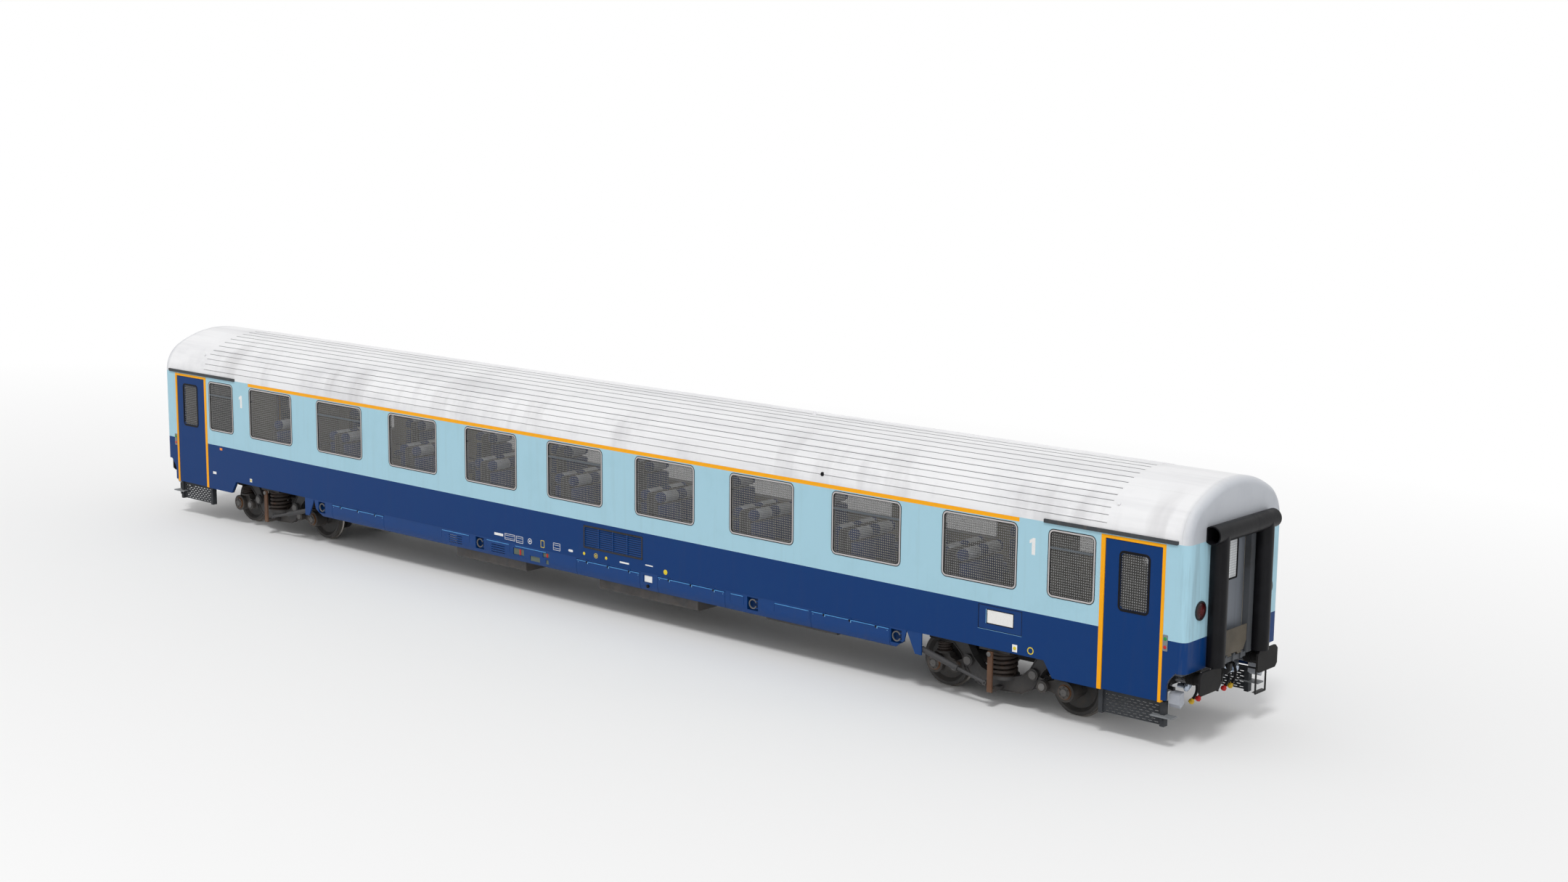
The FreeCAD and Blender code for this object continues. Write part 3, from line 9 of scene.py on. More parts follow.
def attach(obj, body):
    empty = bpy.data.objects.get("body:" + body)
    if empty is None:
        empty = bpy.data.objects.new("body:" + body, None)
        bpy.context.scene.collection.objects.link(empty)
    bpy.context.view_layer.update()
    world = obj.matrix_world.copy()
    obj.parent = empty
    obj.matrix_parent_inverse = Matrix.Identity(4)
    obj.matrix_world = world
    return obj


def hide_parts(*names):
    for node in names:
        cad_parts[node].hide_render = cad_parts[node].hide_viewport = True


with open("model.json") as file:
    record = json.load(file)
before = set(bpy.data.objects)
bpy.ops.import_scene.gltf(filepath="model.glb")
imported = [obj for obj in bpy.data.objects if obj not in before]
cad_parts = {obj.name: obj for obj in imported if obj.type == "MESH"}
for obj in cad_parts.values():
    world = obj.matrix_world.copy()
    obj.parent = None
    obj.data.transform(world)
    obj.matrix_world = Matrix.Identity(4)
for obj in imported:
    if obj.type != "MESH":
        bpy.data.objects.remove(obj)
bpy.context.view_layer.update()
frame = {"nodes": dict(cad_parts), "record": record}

# Sizes of the coach in metres, from the rail head up, which stands this far over the floor.
RAIL = 0.030
HALF_WIDTH = 1.4125
BELT = 1.712
ENDS = (("front", 1), ("rear", -1))
SIDES = (("right", -1), ("left", 1))
PIVOT_X = 9.5
AXLE_OFFSET = 1.28
WHEEL_RADIUS = 0.46
JOURNAL_Y = 1.0
EAVES = 3.200
ROOF_TOP = 4.050
WALL = 0.045
ROOF_SHEET = 0.035
LINING_FOOT = 1.200
INSIDE_X = 12.975
LINE_Z = 3.164
LINE_HALF_HEIGHT = 0.034
LINE_REACH = 10.0
HAUNCH_RADIUS = 0.650
HAUNCH_Y = HALF_WIDTH - HAUNCH_RADIUS
CROWN_RISE = ROOF_TOP - EAVES
CROWN_DROP = (HAUNCH_Y**2 - (CROWN_RISE - HAUNCH_RADIUS) ** 2) / (2 * (CROWN_RISE - HAUNCH_RADIUS))
CROWN_RADIUS = CROWN_RISE + CROWN_DROP

# Colours as linear red, green and blue.
WHITE = (0.81, 0.81, 0.82)
PALE_BLUE = (0.365, 0.585, 0.685)
DARK_BLUE = (0.002, 0.035, 0.152)
WARM_YELLOW = (0.90, 0.385, 0.008)
NEAR_BLACK = (0.008, 0.008, 0.010)
RUST = (0.105, 0.045, 0.020)
DUST = (0.150, 0.120, 0.095)
LINING = (0.36, 0.33, 0.27)
UNDERSEAL = (0.028, 0.028, 0.030)


# ---- Camera ----
def make_camera():
    """View from beyond the front end on the right side, a little above the roof."""
    yaw, pitch, roll = -0.7090, 0.1748, 0.0103
    ahead = Vector((math.sin(yaw) * math.cos(pitch), math.cos(yaw) * math.cos(pitch), -math.sin(pitch)))
    across = Vector((math.cos(yaw), -math.sin(yaw), 0))
    above = across.cross(ahead)
    right = across * math.cos(roll) + above * math.sin(roll)
    up = above * math.cos(roll) - across * math.sin(roll)
    data = bpy.data.cameras.new("camera")
    data.sensor_width = 36
    data.lens = 51.55
    data.clip_end = 500
    camera = bpy.data.objects.new("camera", data)
    camera.matrix_world = Matrix.Translation((29.614, -29.964, 10.457 + RAIL)) @ Matrix(
        (right, up, -ahead)
    ).transposed().to_4x4()
    bpy.context.scene.collection.objects.link(camera)
    bpy.context.scene.camera = camera


make_camera()

# ---- Brake hoses ----
HOSE_DIAMETER = 0.044
HOSE_EXIT = (12.570, 1.020 + RAIL)
HOSE_PLACES = (-0.59, -0.39, 0.39, 0.59)
# Route of a hose from the headstock, as (outwards, sideways, up).
HOSE_ROUTE = (
    (0.070, 0.000, 0.000),
    (0.150, 0.003, -0.030),
    (0.215, -0.002, -0.110),
    (0.240, 0.003, -0.210),
    (0.225, -0.002, -0.310),
    (0.180, 0.002, -0.385),
)


def make_hoses():
    hoses = []
    for end, sign in ENDS:
        for number, place in enumerate(HOSE_PLACES, 1):
            curve = bpy.data.curves.new(f"{end}_hose_{number}", "CURVE")
            curve.dimensions = "3D"
            curve.bevel_depth = HOSE_DIAMETER / 2
            curve.bevel_resolution = 4
            curve.resolution_u = 10
            curve.use_fill_caps = True
            spline = curve.splines.new("NURBS")
            spline.points.add(len(HOSE_ROUTE) - 1)
            route = [(sign * (HOSE_EXIT[0] + x), place + y, HOSE_EXIT[1] + z) for x, y, z in HOSE_ROUTE]
            for point, place_of_point in zip(spline.points, route):
                point.co = (*place_of_point, 1)
            spline.order_u = 3
            spline.use_endpoint_u = True
            hose = bpy.data.objects.new(f"{end}_hose_{number}", curve)
            bpy.context.scene.collection.objects.link(hose)
            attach(hose, "coach_body")
            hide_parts(f"brake_hose_{end}_{number}")
            hoses.append(hose)
    return hoses


hoses = make_hoses()


# ---- Shader helpers ----
class Value:
    """Output of a shader node. Arithmetic and comparison add maths nodes to its tree."""

    def __init__(self, socket):
        self.socket = socket

    def __abs__(self):
        return maths("ABSOLUTE", self)

    def __add__(self, other):
        return maths("ADD", self, other)

    def __radd__(self, other):
        return maths("ADD", other, self)

    def __sub__(self, other):
        return maths("SUBTRACT", self, other)

    def __rsub__(self, other):
        return maths("SUBTRACT", other, self)

    def __mul__(self, other):
        return maths("MULTIPLY", self, other)

    def __truediv__(self, other):
        return maths("DIVIDE", self, other)

    def __rtruediv__(self, other):
        return maths("DIVIDE", other, self)

    def __gt__(self, other):
        return maths("GREATER_THAN", self, other)

    def __lt__(self, other):
        return maths("LESS_THAN", self, other)


def tree_of(*values):
    """Node tree that holds the first of the values that is a node's output."""
    return next(value.socket.id_data for value in values if isinstance(value, Value))


def put(tree, value, socket):
    """Link or constant at a node's input; a colour gets its alpha."""
    if isinstance(value, Value):
        tree.links.new(value.socket, socket)
    elif socket.type == "RGBA":
        socket.default_value = (*value[:3], 1)
    else:
        socket.default_value = value


def add(tree, kind, inputs=None, **settings):
    """New node with its settings, and with values or links at its inputs."""
    made = tree.nodes.new(kind)
    for name, value in settings.items():
        setattr(made, name, value)
    for name, value in (inputs or {}).items():
        put(tree, value, made.inputs[name])
    return made


def maths(operation, *values):
    made = add(tree_of(*values), "ShaderNodeMath", dict(enumerate(values)), operation=operation)
    return Value(made.outputs[0])


def held(value):
    """Value kept between nought and one by its own node."""
    value.socket.node.use_clamp = True
    return value


def ramp(value, low, high, to_low=0.0, to_high=1.0):
    """Value between low and high, spread over to_low and to_high and held there."""
    inputs = {"Value": value, "From Min": low, "From Max": high, "To Min": to_low, "To Max": to_high}
    return Value(add(tree_of(value), "ShaderNodeMapRange", inputs).outputs["Result"])


def spread(share, low, high):
    """Value that goes from low to high with the share."""
    return ramp(share, 0.0, 1.0, low, high)


def blend(share, first, second):
    """Colour that goes from the first to the second with the share."""
    inputs = {0: share, 6: first, 7: second}
    made = add(tree_of(share), "ShaderNodeMix", data_type="RGBA", blend_type="MIX", clamp_result=True)
    for index, value in inputs.items():
        put(made.id_data, value, made.inputs[index])
    return Value(made.outputs[2])


def within(value, centre, reach):
    """One where the size of a value is within reach of a centre."""
    return abs(abs(value) - centre) < reach


def both_of(*masks):
    """One where every mask is one."""
    whole = masks[0]
    for mask in masks[1:]:
        whole = whole * mask
    return whole


def length_of(across, above):
    return maths("SQRT", across * across + above * above)


def place(tree):
    """Position on the coach at rest, as a vector and its three parts."""
    vector = Value(add(tree, "ShaderNodeTexCoord").outputs["Object"])
    parts = add(tree, "ShaderNodeSeparateXYZ", {"Vector": vector})
    return vector, *(Value(part) for part in parts.outputs)


def stretched(vector, scale):
    return Value(
        add(tree_of(vector), "ShaderNodeMapping", {"Vector": vector, "Scale": scale}).outputs["Vector"]
    )


def noise(vector, scale, detail=4.0, roughness=0.55):
    inputs = {"Vector": vector, "Scale": scale, "Detail": detail, "Roughness": roughness}
    return Value(add(tree_of(vector), "ShaderNodeTexNoise", inputs).outputs["Fac"])


def waves(vector, **settings):
    return Value(add(tree_of(vector), "ShaderNodeTexWave", {"Vector": vector, **settings}).outputs["Fac"])


def bump(height, strength, distance):
    inputs = {"Height": height, "Strength": strength, "Distance": distance}
    return Value(add(tree_of(height), "ShaderNodeBump", inputs).outputs["Normal"])


def group(name, **inputs):
    """Empty node group with named inputs, as its tree and its given values."""
    tree = bpy.data.node_groups.new(name, "ShaderNodeTree")
    for label, default in inputs.items():
        socket = tree.interface.new_socket(spaced(label), in_out="INPUT", socket_type="NodeSocketFloat")
        socket.default_value = default
    given = tree.nodes.new("NodeGroupInput").outputs
    return tree, *(Value(given[spaced(label)]) for label in inputs)


def spaced(label):
    return label.replace("_", " ")


def closed(tree, **outputs):
    """Group whose outputs give the named values."""
    for label in outputs:
        kind = "Vector" if label == "Normal" else "Float"
        tree.interface.new_socket(spaced(label), in_out="OUTPUT", socket_type="NodeSocket" + kind)
    out = tree.nodes.new("NodeGroupOutput")
    for label, value in outputs.items():
        put(tree, value, out.inputs[spaced(label)])
    return tree


def use(material, made, **inputs):
    """Outputs of a node group placed in a material with its own values."""
    node = material.node_tree.nodes.new("ShaderNodeGroup")
    node.node_tree = made
    for label, value in inputs.items():
        node.inputs[spaced(label)].default_value = value
    return {output.name: Value(output) for output in node.outputs}


def finish(name, **sockets):
    """Material with one Principled shader."""
    material = bpy.data.materials.new(name)
    material.use_nodes = True
    return wired(material, {}, **sockets)


def wired(material, surface, **sockets):
    """Material with values or links at its shader's inputs, and a surface's roughness and normal."""
    tree = material.node_tree
    own = {label: surface[label] for label in ("Roughness", "Normal") if label in surface}
    for label, value in {**own, **sockets}.items():
        put(tree, value, tree.nodes["Principled BSDF"].inputs[spaced(label)])
    return material


# ---- Effects that several finishes share ----
def build_weather():
    """Painted sheet outdoors: soft patches, streaks that run down, and the paint's fine ripple."""
    tree, patch_size, ripple = group("weather", Patch_Size=1.0, Ripple=0.1)
    vector = place(tree)[0]
    per_metre = 1.0 / patch_size
    streaks = noise(stretched(vector, (5.0, 5.0, 0.35)), per_metre, 6.0, 0.6)
    return closed(
        tree,
        Patches=ramp(noise(vector, per_metre, 5.0, 0.62), 0.50, 0.72),
        Streaks=ramp(streaks, 0.52, 0.75),
        Normal=bump(noise(vector, 90.0, 2.0), ripple, 0.001),
    )


def build_track_dust():
    """Dust thrown up from the track, thickest low down and broken into patches."""
    tree, top, depth = group("track dust", Top=1.0, Depth=0.5)
    vector, _, _, z = place(tree)
    broken = ramp(noise(vector, 6.0, 6.0, 0.65), 0.30, 0.70)
    return closed(tree, Mask=held((top - z) / depth) * broken)


def build_cast_skin():
    """Cast or forged steel in service: grain, rust blooms and caked dust."""
    tree, rust, roughening = group("cast skin", Rust=0.3, Grain=0.4)
    vector = place(tree)[0]
    blooms = noise(vector, 5.0, 8.0, 0.7)
    mask = held((blooms - (0.75 - rust * 0.4)) * 6.0)
    grain = noise(vector, 140.0, 3.0, 0.7)
    return closed(
        tree,
        Rust_Mask=mask,
        Tone=ramp(noise(vector, 2.2, 5.0), 0.3, 0.7),
        Roughness=ramp(grain, 0.2, 0.8, 0.45, 0.75),
        Normal=bump(grain + mask * 0.5, roughening, 0.002),
    )


def build_dot_screen():
    """Fine screen of pale dots printed on glass, square to the side and the end walls."""
    tree, pitch, dot = group("dot screen", Pitch=0.038, Dot=0.30)
    _, x, y, z = place(tree)
    across, above = (maths("FRACT", value / pitch) - 0.5 for value in (x + y, z))
    return closed(tree, Mask=length_of(across, above) < dot)


WEATHER = build_weather()
TRACK_DUST = build_track_dust()
CAST_SKIN = build_cast_skin()
DOT_SCREEN = build_dot_screen()


# ---- Finishes ----
def shade(colour, share):
    return tuple(part * share for part in colour)


def weathered(name, specular, patch_size, ripple=0.12):
    """Material of painted sheet, its weather, and its place on the coach."""
    material = finish(name, Specular_IOR_Level=specular)
    return material, use(material, WEATHER, Patch_Size=patch_size, Ripple=ripple), place(material.node_tree)


def forged(name, specular, rust, grain):
    """Material of cast or forged steel, its skin, and its place on the coach."""
    material = finish(name, Specular_IOR_Level=specular)
    return material, use(material, CAST_SKIN, Rust=rust, Grain=grain), place(material.node_tree)


def painted(name, colour, dirt, roughness, patch_size=1.0, dirt_colour=DUST, dust_top=0.0, specular=0.12):
    """Coach paint in one colour with its weathering."""
    material = finish(name, Specular_IOR_Level=specular)
    weather = use(material, WEATHER, Patch_Size=patch_size, Ripple=0.12)
    worn = weather["Patches"] * dirt
    body = blend(worn, colour, shade(colour, 0.8))
    streaked = blend(weather["Streaks"] * dirt, body, dirt_colour)
    if dust_top:
        dust = use(material, TRACK_DUST, Top=dust_top, Depth=0.5)["Mask"]
        streaked = blend(dust * 0.35, streaked, dirt_colour)
    rough = roughness + weather["Patches"] * 0.12
    return wired(material, weather, Base_Color=streaked, Roughness=rough)


def build_side_paint():
    """Dark blue below the belt, pale blue above it, a yellow line along the cantrail, and lining inside."""
    material, weather, (_, x, y, z) = weathered("side paint", 0.15, 0.7)
    above_belt = z > BELT + RAIL
    pale = blend(weather["Patches"] * 0.35, PALE_BLUE, (0.315, 0.520, 0.600))
    pale = blend(weather["Streaks"] * 0.22, pale, (0.300, 0.440, 0.480))
    dark = blend(weather["Patches"] * 0.45, DARK_BLUE, (0.004, 0.041, 0.152))
    dark = blend(weather["Streaks"] * 0.10, dark, (0.035, 0.045, 0.105))
    both = blend(above_belt, dark, pale)
    in_line = both_of(within(z, LINE_Z + RAIL, LINE_HALF_HEIGHT), within(x, 0.0, LINE_REACH))
    from_middle = abs(y)
    on_face = from_middle > HALF_WIDTH - 0.02
    whole = blend(both_of(in_line, on_face), both, WARM_YELLOW)
    inside = both_of(from_middle < HALF_WIDTH - WALL, abs(x) < 12.98)
    lined = blend(z > LINING_FOOT + RAIL, UNDERSEAL, LINING)
    rough = 0.34 + weather["Patches"] * 0.15
    return wired(material, weather, Base_Color=blend(inside, whole, lined), Roughness=rough)


def build_end_paint():
    """End walls in the side colours, with a grey portal about the gangway and lining inside."""
    material, weather, (_, x, y, z) = weathered("end paint", 0.15, 0.6)
    above_belt = z > BELT + RAIL
    both = blend(above_belt, DARK_BLUE, PALE_BLUE)
    worn = blend(weather["Streaks"] * 0.35, both, (0.120, 0.130, 0.140))
    from_middle = abs(y)
    near_gangway = from_middle < 0.542
    whole = blend(
        near_gangway, worn, blend(weather["Patches"], (0.075, 0.080, 0.088), (0.055, 0.056, 0.058))
    )
    inside = both_of(abs(x) < INSIDE_X, from_middle < HALF_WIDTH - WALL)
    lined = blend(z > LINING_FOOT + RAIL, UNDERSEAL, LINING)
    return wired(
        material, weather, Base_Color=blend(inside, whole, lined),
        Roughness=spread(weather["Patches"], 0.36, 0.50),
    )


def under_roof(y, z):
    """One on what lies inside the roof's sheets."""
    from_middle = abs(y)
    over_eaves = z - (EAVES + RAIL)
    over_centre = over_eaves + CROWN_DROP
    sideways = from_middle - HAUNCH_Y
    in_crown = length_of(from_middle, over_centre) < CROWN_RADIUS - ROOF_SHEET
    in_haunch = length_of(sideways, over_eaves) < HAUNCH_RADIUS - ROOF_SHEET
    in_middle = sideways < 0.0
    return both_of(in_crown, maths("MAXIMUM", in_middle, in_haunch))


def build_roof_paint():
    """White roof greyed by soot along the beads and greyer towards the haunches, with painted shade over its
    ends, and a pale ceiling inside.
    """
    material, weather, (vector, x, y, z) = weathered("roof paint", 0.3, 1.6)
    lengthwise = noise(stretched(vector, (0.25, 3.0, 3.0)), 1.0, 6.0, 0.6)
    runs = ramp(noise(stretched(vector, (1.6, 0.5, 0.3)), 1.0, 4.0, 0.5), 0.52, 0.78)
    on_haunch = ramp(abs(y), 0.65, 1.25)
    grey = 0.15 + on_haunch * 0.55
    soot_and_end_shade = blend(weather["Patches"] * grey, WHITE, (0.55, 0.55, 0.57))
    soot_and_end_shade = blend(ramp(lengthwise, 0.46, 0.70) * 0.42, soot_and_end_shade, (0.58, 0.58, 0.60))
    soot_and_end_shade = blend(runs * grey, soot_and_end_shade, (0.50, 0.49, 0.50))
    ceiling = blend(weather["Patches"], (0.33, 0.30, 0.21), (0.28, 0.25, 0.18))
    outwards = abs(x)
    under = both_of(under_roof(y, z), outwards < INSIDE_X)
    # Painted shade: the roof turns blue-grey towards its end faces.
    soot_and_end_shade = blend(ramp(outwards, 12.86, 13.13), soot_and_end_shade, (0.34, 0.37, 0.42))
    return wired(
        material, weather, Base_Color=blend(under, soot_and_end_shade, ceiling), Roughness=0.42 + weather["Patches"] * 0.2
    )


def build_glass():
    """Tinted pane with its dot screen; the saloon shows through it."""
    material = finish("window glass", Roughness=0.06, Specular_IOR_Level=0.4)
    screen = use(material, DOT_SCREEN, Pitch=0.040, Dot=0.24)["Mask"]
    smear = ramp(noise(place(material.node_tree)[0], 3.0, 5.0), 0.35, 0.75)
    tint = blend(smear, (0.074, 0.073, 0.070), (0.104, 0.102, 0.098))
    clear = 0.32 + screen * 0.38
    return wired(
        material, {}, Base_Color=blend(screen, tint, (0.30, 0.30, 0.30)), Alpha=clear,
        Normal=bump(smear, 0.03, 0.002),
    )


def metal(
    name, colour, rust, rust_colour=RUST, grain=0.35, metallic=0.0, specular=0.35, dust_top=1.0, dust=0.4
):
    """Dark steel with rust blooms and track dust."""
    material = finish(name, Metallic=metallic, Specular_IOR_Level=specular)
    skin = use(material, CAST_SKIN, Rust=rust, Grain=grain)
    toned = blend(skin["Tone"], shade(colour, 0.7), shade(colour, 1.25))
    rusted = blend(skin["Rust Mask"], toned, rust_colour)
    low = use(material, TRACK_DUST, Top=dust_top, Depth=0.9)["Mask"]
    dusty = blend(low * dust, rusted, DUST)
    return wired(material, skin, Base_Color=dusty)


def build_skirt_paint():
    """Dark blue skirt with a painted highlight along its rolled cover lips."""
    material, weather, (vector, _, y, z) = weathered("skirt paint", 0.22, 0.6)
    body = blend(weather["Patches"] * 0.5, (0.002, 0.042, 0.180), (0.004, 0.040, 0.150))
    body = blend(weather["Streaks"] * 0.15, body, (0.030, 0.045, 0.100))
    dust = use(material, TRACK_DUST, Top=1.05, Depth=0.5)["Mask"]
    body = blend(dust * 0.16, body, (0.050, 0.055, 0.085))
    # Painted highlight along the rolled lips, broken up by noise.
    proud = abs(y) > 1.4092
    at_lip = both_of(proud, within(z, 0.941 + RAIL, 0.009))
    lip_highlight = at_lip * ramp(noise(vector, 9.0, 3.0), 0.25, 0.5, 0.55, 1.0)
    whole = blend(lip_highlight, body, (0.085, 0.300, 0.610))
    # Painted shade: a darker blue on what lies behind the skirt's face, in its pockets and recesses.
    in_shaded_recess = abs(y) < 1.376
    return wired(
        material, weather, Base_Color=blend(in_shaded_recess, whole, (0.002, 0.030, 0.120)),
        Roughness=spread(weather["Patches"], 0.30, 0.46),
    )


def build_display_finish():
    """Display panel in the side's blue and the grey plates of the door controls."""
    material, weather, (_, x, _, _) = weathered("display panel paint", 0.2, 0.4, 0.1)
    body = blend(weather["Patches"] * 0.4, DARK_BLUE, (0.004, 0.042, 0.155))
    at_door = abs(x) > 12.5
    plate = blend(weather["Patches"], (0.20, 0.21, 0.21), (0.15, 0.15, 0.15))
    return wired(
        material, weather, Base_Color=blend(at_door, body, plate),
        Roughness=spread(weather["Patches"], 0.30, 0.42),
    )


def build_end_fitting_finish():
    """Blackened fittings, with yellow cock handles, pale socket cases and polished cable sockets."""
    material, skin, (_, x, y, z) = forged("end fitting steel", 0.3, 0.20, 0.06)
    from_middle = abs(y)
    black = blend(skin["Rust Mask"], (0.010, 0.010, 0.011), (0.040, 0.024, 0.016))
    handle = both_of(z > 1.062 + RAIL, from_middle < 0.62)
    painted_black = blend(handle, black, (0.62, 0.38, 0.02))
    case = both_of(within(y, 1.200, 0.072), abs(x) > 12.719, z < 0.892 + RAIL)
    cased = blend(case, painted_black, blend(skin["Tone"], (0.34, 0.36, 0.40), (0.44, 0.46, 0.50)))
    polished = both_of(within(y, 0.635, 0.090), within(z, 0.868 + RAIL, 0.090), abs(x) < 12.706)
    return wired(
        material, skin, Base_Color=blend(polished, cased, (0.55, 0.63, 0.74)), Metallic=polished * 0.9,
        Roughness=blend(polished, (0.50, 0.50, 0.50), (0.14, 0.14, 0.14)),
    )


def build_step_finish():
    """Dark steps with a paler foot plate, worn and with a painted highlight."""
    material, skin, (_, x, _, z) = forged("step paint", 0.2, 0.15, 0.3)
    dark = blend(skin["Tone"], (0.028, 0.031, 0.036), (0.042, 0.045, 0.050))
    # The paler band along the foot plate is wear and a painted highlight.
    plate = both_of(within(z, 0.501 + RAIL, 0.013), abs(x) > 12.49)
    worn = blend(plate, dark, blend(skin["Tone"], (0.16, 0.17, 0.18), (0.27, 0.28, 0.29)))
    return wired(material, skin, Base_Color=blend(skin["Rust Mask"], worn, (0.060, 0.050, 0.044)))


def build_tail_lamp_finish():
    """Dark red lens with moulded rings, in a black rim."""
    material = finish("tail lamp lens", Specular_IOR_Level=0.35)
    _, _, y, z = place(material.node_tree)
    sideways = abs(y) - 1.020
    upwards = z - (2.150 + RAIL)
    radius = length_of(sideways, upwards)
    rim = radius > 0.122
    lens = blend(ramp(radius, 0.02, 0.10), (0.085, 0.005, 0.005), (0.028, 0.002, 0.003))
    rings = maths("SINE", radius * 900.0)
    return wired(
        material, {}, Base_Color=blend(rim, lens, NEAR_BLACK), Roughness=spread(rim, 0.10, 0.50),
        Normal=bump(rings, 0.25, 0.001),
    )


def build_end_door_finish():
    """Grey sliding door with an obscured pane near its top."""
    material, weather, (_, _, y, z) = weathered("end door paint", 0.3, 0.5)
    grey = blend(weather["Streaks"] * 0.5, (0.155, 0.170, 0.195), (0.105, 0.108, 0.112))
    pane = both_of(within(y, 0.0, 0.200), within(z, 2.755 + RAIL, 0.305))
    screen = use(material, DOT_SCREEN, Pitch=0.040, Dot=0.26)["Mask"]
    obscured = blend(screen, (0.52, 0.54, 0.56), (0.80, 0.81, 0.82))
    return wired(
        material, weather, Base_Color=blend(pane, grey, obscured), Roughness=spread(pane, 0.38, 0.10)
    )


def from_axle(x, z):
    """Distance from the nearest axle's middle, across the axle."""
    from_pivot = abs(x) - PIVOT_X
    along = abs(from_pivot) - AXLE_OFFSET
    return length_of(along, z - (WHEEL_RADIUS + RAIL))


def build_axle_box_finish():
    """Swing arms and axle boxes: dark casting, rusted about the box covers, bright on the turned bosses."""
    material, skin, (_, x, y, z) = forged("axle box casting", 0.4, 0.30, 0.35)
    toned = blend(skin["Tone"], (0.018, 0.018, 0.018), (0.036, 0.034, 0.033))
    rusted = blend(skin["Rust Mask"], toned, RUST)
    radius = from_axle(x, z)
    low = use(material, TRACK_DUST, Top=1.0, Depth=0.9)["Mask"]
    dusty = blend(low * 0.35, rusted, DUST)
    rim = (radius < 0.125) * (radius > 0.096)
    outside = abs(y) > 1.155
    ringed = blend(both_of(rim, outside) * 0.75, dusty, (0.150, 0.065, 0.022))
    face = abs(y) > 1.186
    return wired(material, skin, Base_Color=blend(face * 0.7, ringed, (0.070, 0.066, 0.062)))


def build_wheel_steel():
    """Wheelset: bright tread and flange, dusty plate, rusted axle."""
    material, skin, (_, x, _, z) = forged("wheel steel", 0.5, 0.55, 0.3)
    plate = blend(skin["Rust Mask"], (0.020, 0.020, 0.020), (0.034, 0.024, 0.019))
    low = use(material, TRACK_DUST, Top=1.3, Depth=1.2)["Mask"]
    plate = blend(low * 0.12, plate, DUST)
    on_tread = from_axle(x, z) > 0.4505
    return wired(
        material, skin, Base_Color=blend(on_tread, plate, (0.30, 0.28, 0.26)), Metallic=on_tread,
        Roughness=spread(on_tread, 0.62, 0.28),
    )


def build_rubber(name="black rubber", darkness=1.0):
    material = finish(name, Specular_IOR_Level=0.13)
    weather = use(material, WEATHER, Patch_Size=0.4, Ripple=0.3)
    deep = tuple(part * darkness * 0.6 for part in NEAR_BLACK)
    dull = blend(weather["Patches"], deep, NEAR_BLACK)
    bloom = weather["Streaks"] * 0.25
    return wired(
        material, weather, Base_Color=blend(bloom, dull, (0.020, 0.019, 0.020)),
        Roughness=spread(weather["Patches"], 0.38, 0.55),
    )


def build_brushed(name, colour, roughness):
    """Anodised aluminium drawn along its length."""
    material = finish(name, Metallic=0.75)
    vector = place(material.node_tree)[0]
    drawn = noise(stretched(vector, (3.0, 60.0, 60.0)), 4.0, 3.0)
    return wired(
        material, {}, Base_Color=blend(drawn, shade(colour, 0.85), colour),
        Roughness=ramp(drawn, 0.3, 0.7, roughness, roughness + 0.12), Normal=bump(drawn, 0.05, 0.001),
    )


def build_hose_heads():
    """Coupling heads, yellow on the outer hoses and red on the inner ones."""
    material = finish("hose coupling enamel", Specular_IOR_Level=0.5)
    _, _, y, _ = place(material.node_tree)
    outer = abs(y) > 0.49
    skin = use(material, CAST_SKIN, Rust=0.15, Grain=0.15)
    enamel = blend(outer, (0.50, 0.012, 0.010), (0.62, 0.40, 0.02))
    return wired(material, skin, Base_Color=blend(skin["Rust Mask"], enamel, (0.10, 0.05, 0.03)))


def woven(name, colour, other, scale=260.0):
    """Plush or woven seat cloth."""
    material = finish(name, Roughness=0.9, Specular_IOR_Level=0.15, Sheen_Weight=0.3)
    vector = place(material.node_tree)[0]
    threads = waves(vector, Scale=scale, Distortion=0.5)
    mottle = noise(vector, 14.0, 5.0)
    return wired(
        material, {}, Base_Color=blend(ramp(mottle, 0.35, 0.65), colour, other),
        Normal=bump(threads, 0.25, 0.001),
    )


def laminate(name, colour, roughness=0.5):
    material = finish(name, Specular_IOR_Level=0.4)
    speckle = noise(place(material.node_tree)[0], 35.0, 6.0, 0.7)
    return wired(
        material, {}, Base_Color=blend(speckle, shade(colour, 0.92), colour),
        Roughness=ramp(speckle, 0.3, 0.7, roughness - 0.06, roughness + 0.08),
        Normal=bump(speckle, 0.08, 0.0006),
    )


def enamel(name, colour):
    """Small painted or printed mark, a little chalky with age."""
    material = finish(name, Specular_IOR_Level=0.4)
    wear = noise(place(material.node_tree)[0], 55.0, 6.0, 0.7)
    faded = blend(ramp(wear, 0.45, 0.75, 0.0, 0.5), colour, tuple(part * 0.7 + 0.03 for part in colour))
    return wired(
        material, {}, Base_Color=faded, Roughness=ramp(wear, 0.3, 0.7, 0.32, 0.50),
        Normal=bump(wear, 0.06, 0.0005),
    )


def build_diffuser():
    """Ribbed opal cover of a ceiling light, softly lit."""
    material = finish("light diffuser", Roughness=0.4, Emission_Strength=3.0)
    ribs = waves(place(material.node_tree)[0], Scale=40.0)
    glow = blend(ribs, (0.90, 0.88, 0.80), (1.0, 0.98, 0.92))
    return wired(material, {}, Base_Color=glow, Emission_Color=glow, Normal=bump(ribs, 0.2, 0.001))


def build_window_frames():
    """Drawn aluminium frames with darker bars across the panes."""
    material = finish("window aluminium", Metallic=0.6)
    vector, _, y, z = place(material.node_tree)
    drawn = noise(stretched(vector, (3.0, 60.0, 60.0)), 4.0, 3.0)
    bright = blend(drawn, (0.46, 0.44, 0.44), (0.56, 0.54, 0.53))
    behind_face = abs(y) < HALF_WIDTH + 0.002
    bar = both_of(within(z, 2.811 + RAIL, 0.018), behind_face)
    return wired(
        material, {}, Base_Color=blend(bar, bright, (0.110, 0.125, 0.140)),
        Roughness=ramp(drawn, 0.3, 0.7, 0.30, 0.42), Normal=bump(drawn, 0.05, 0.001),
    )


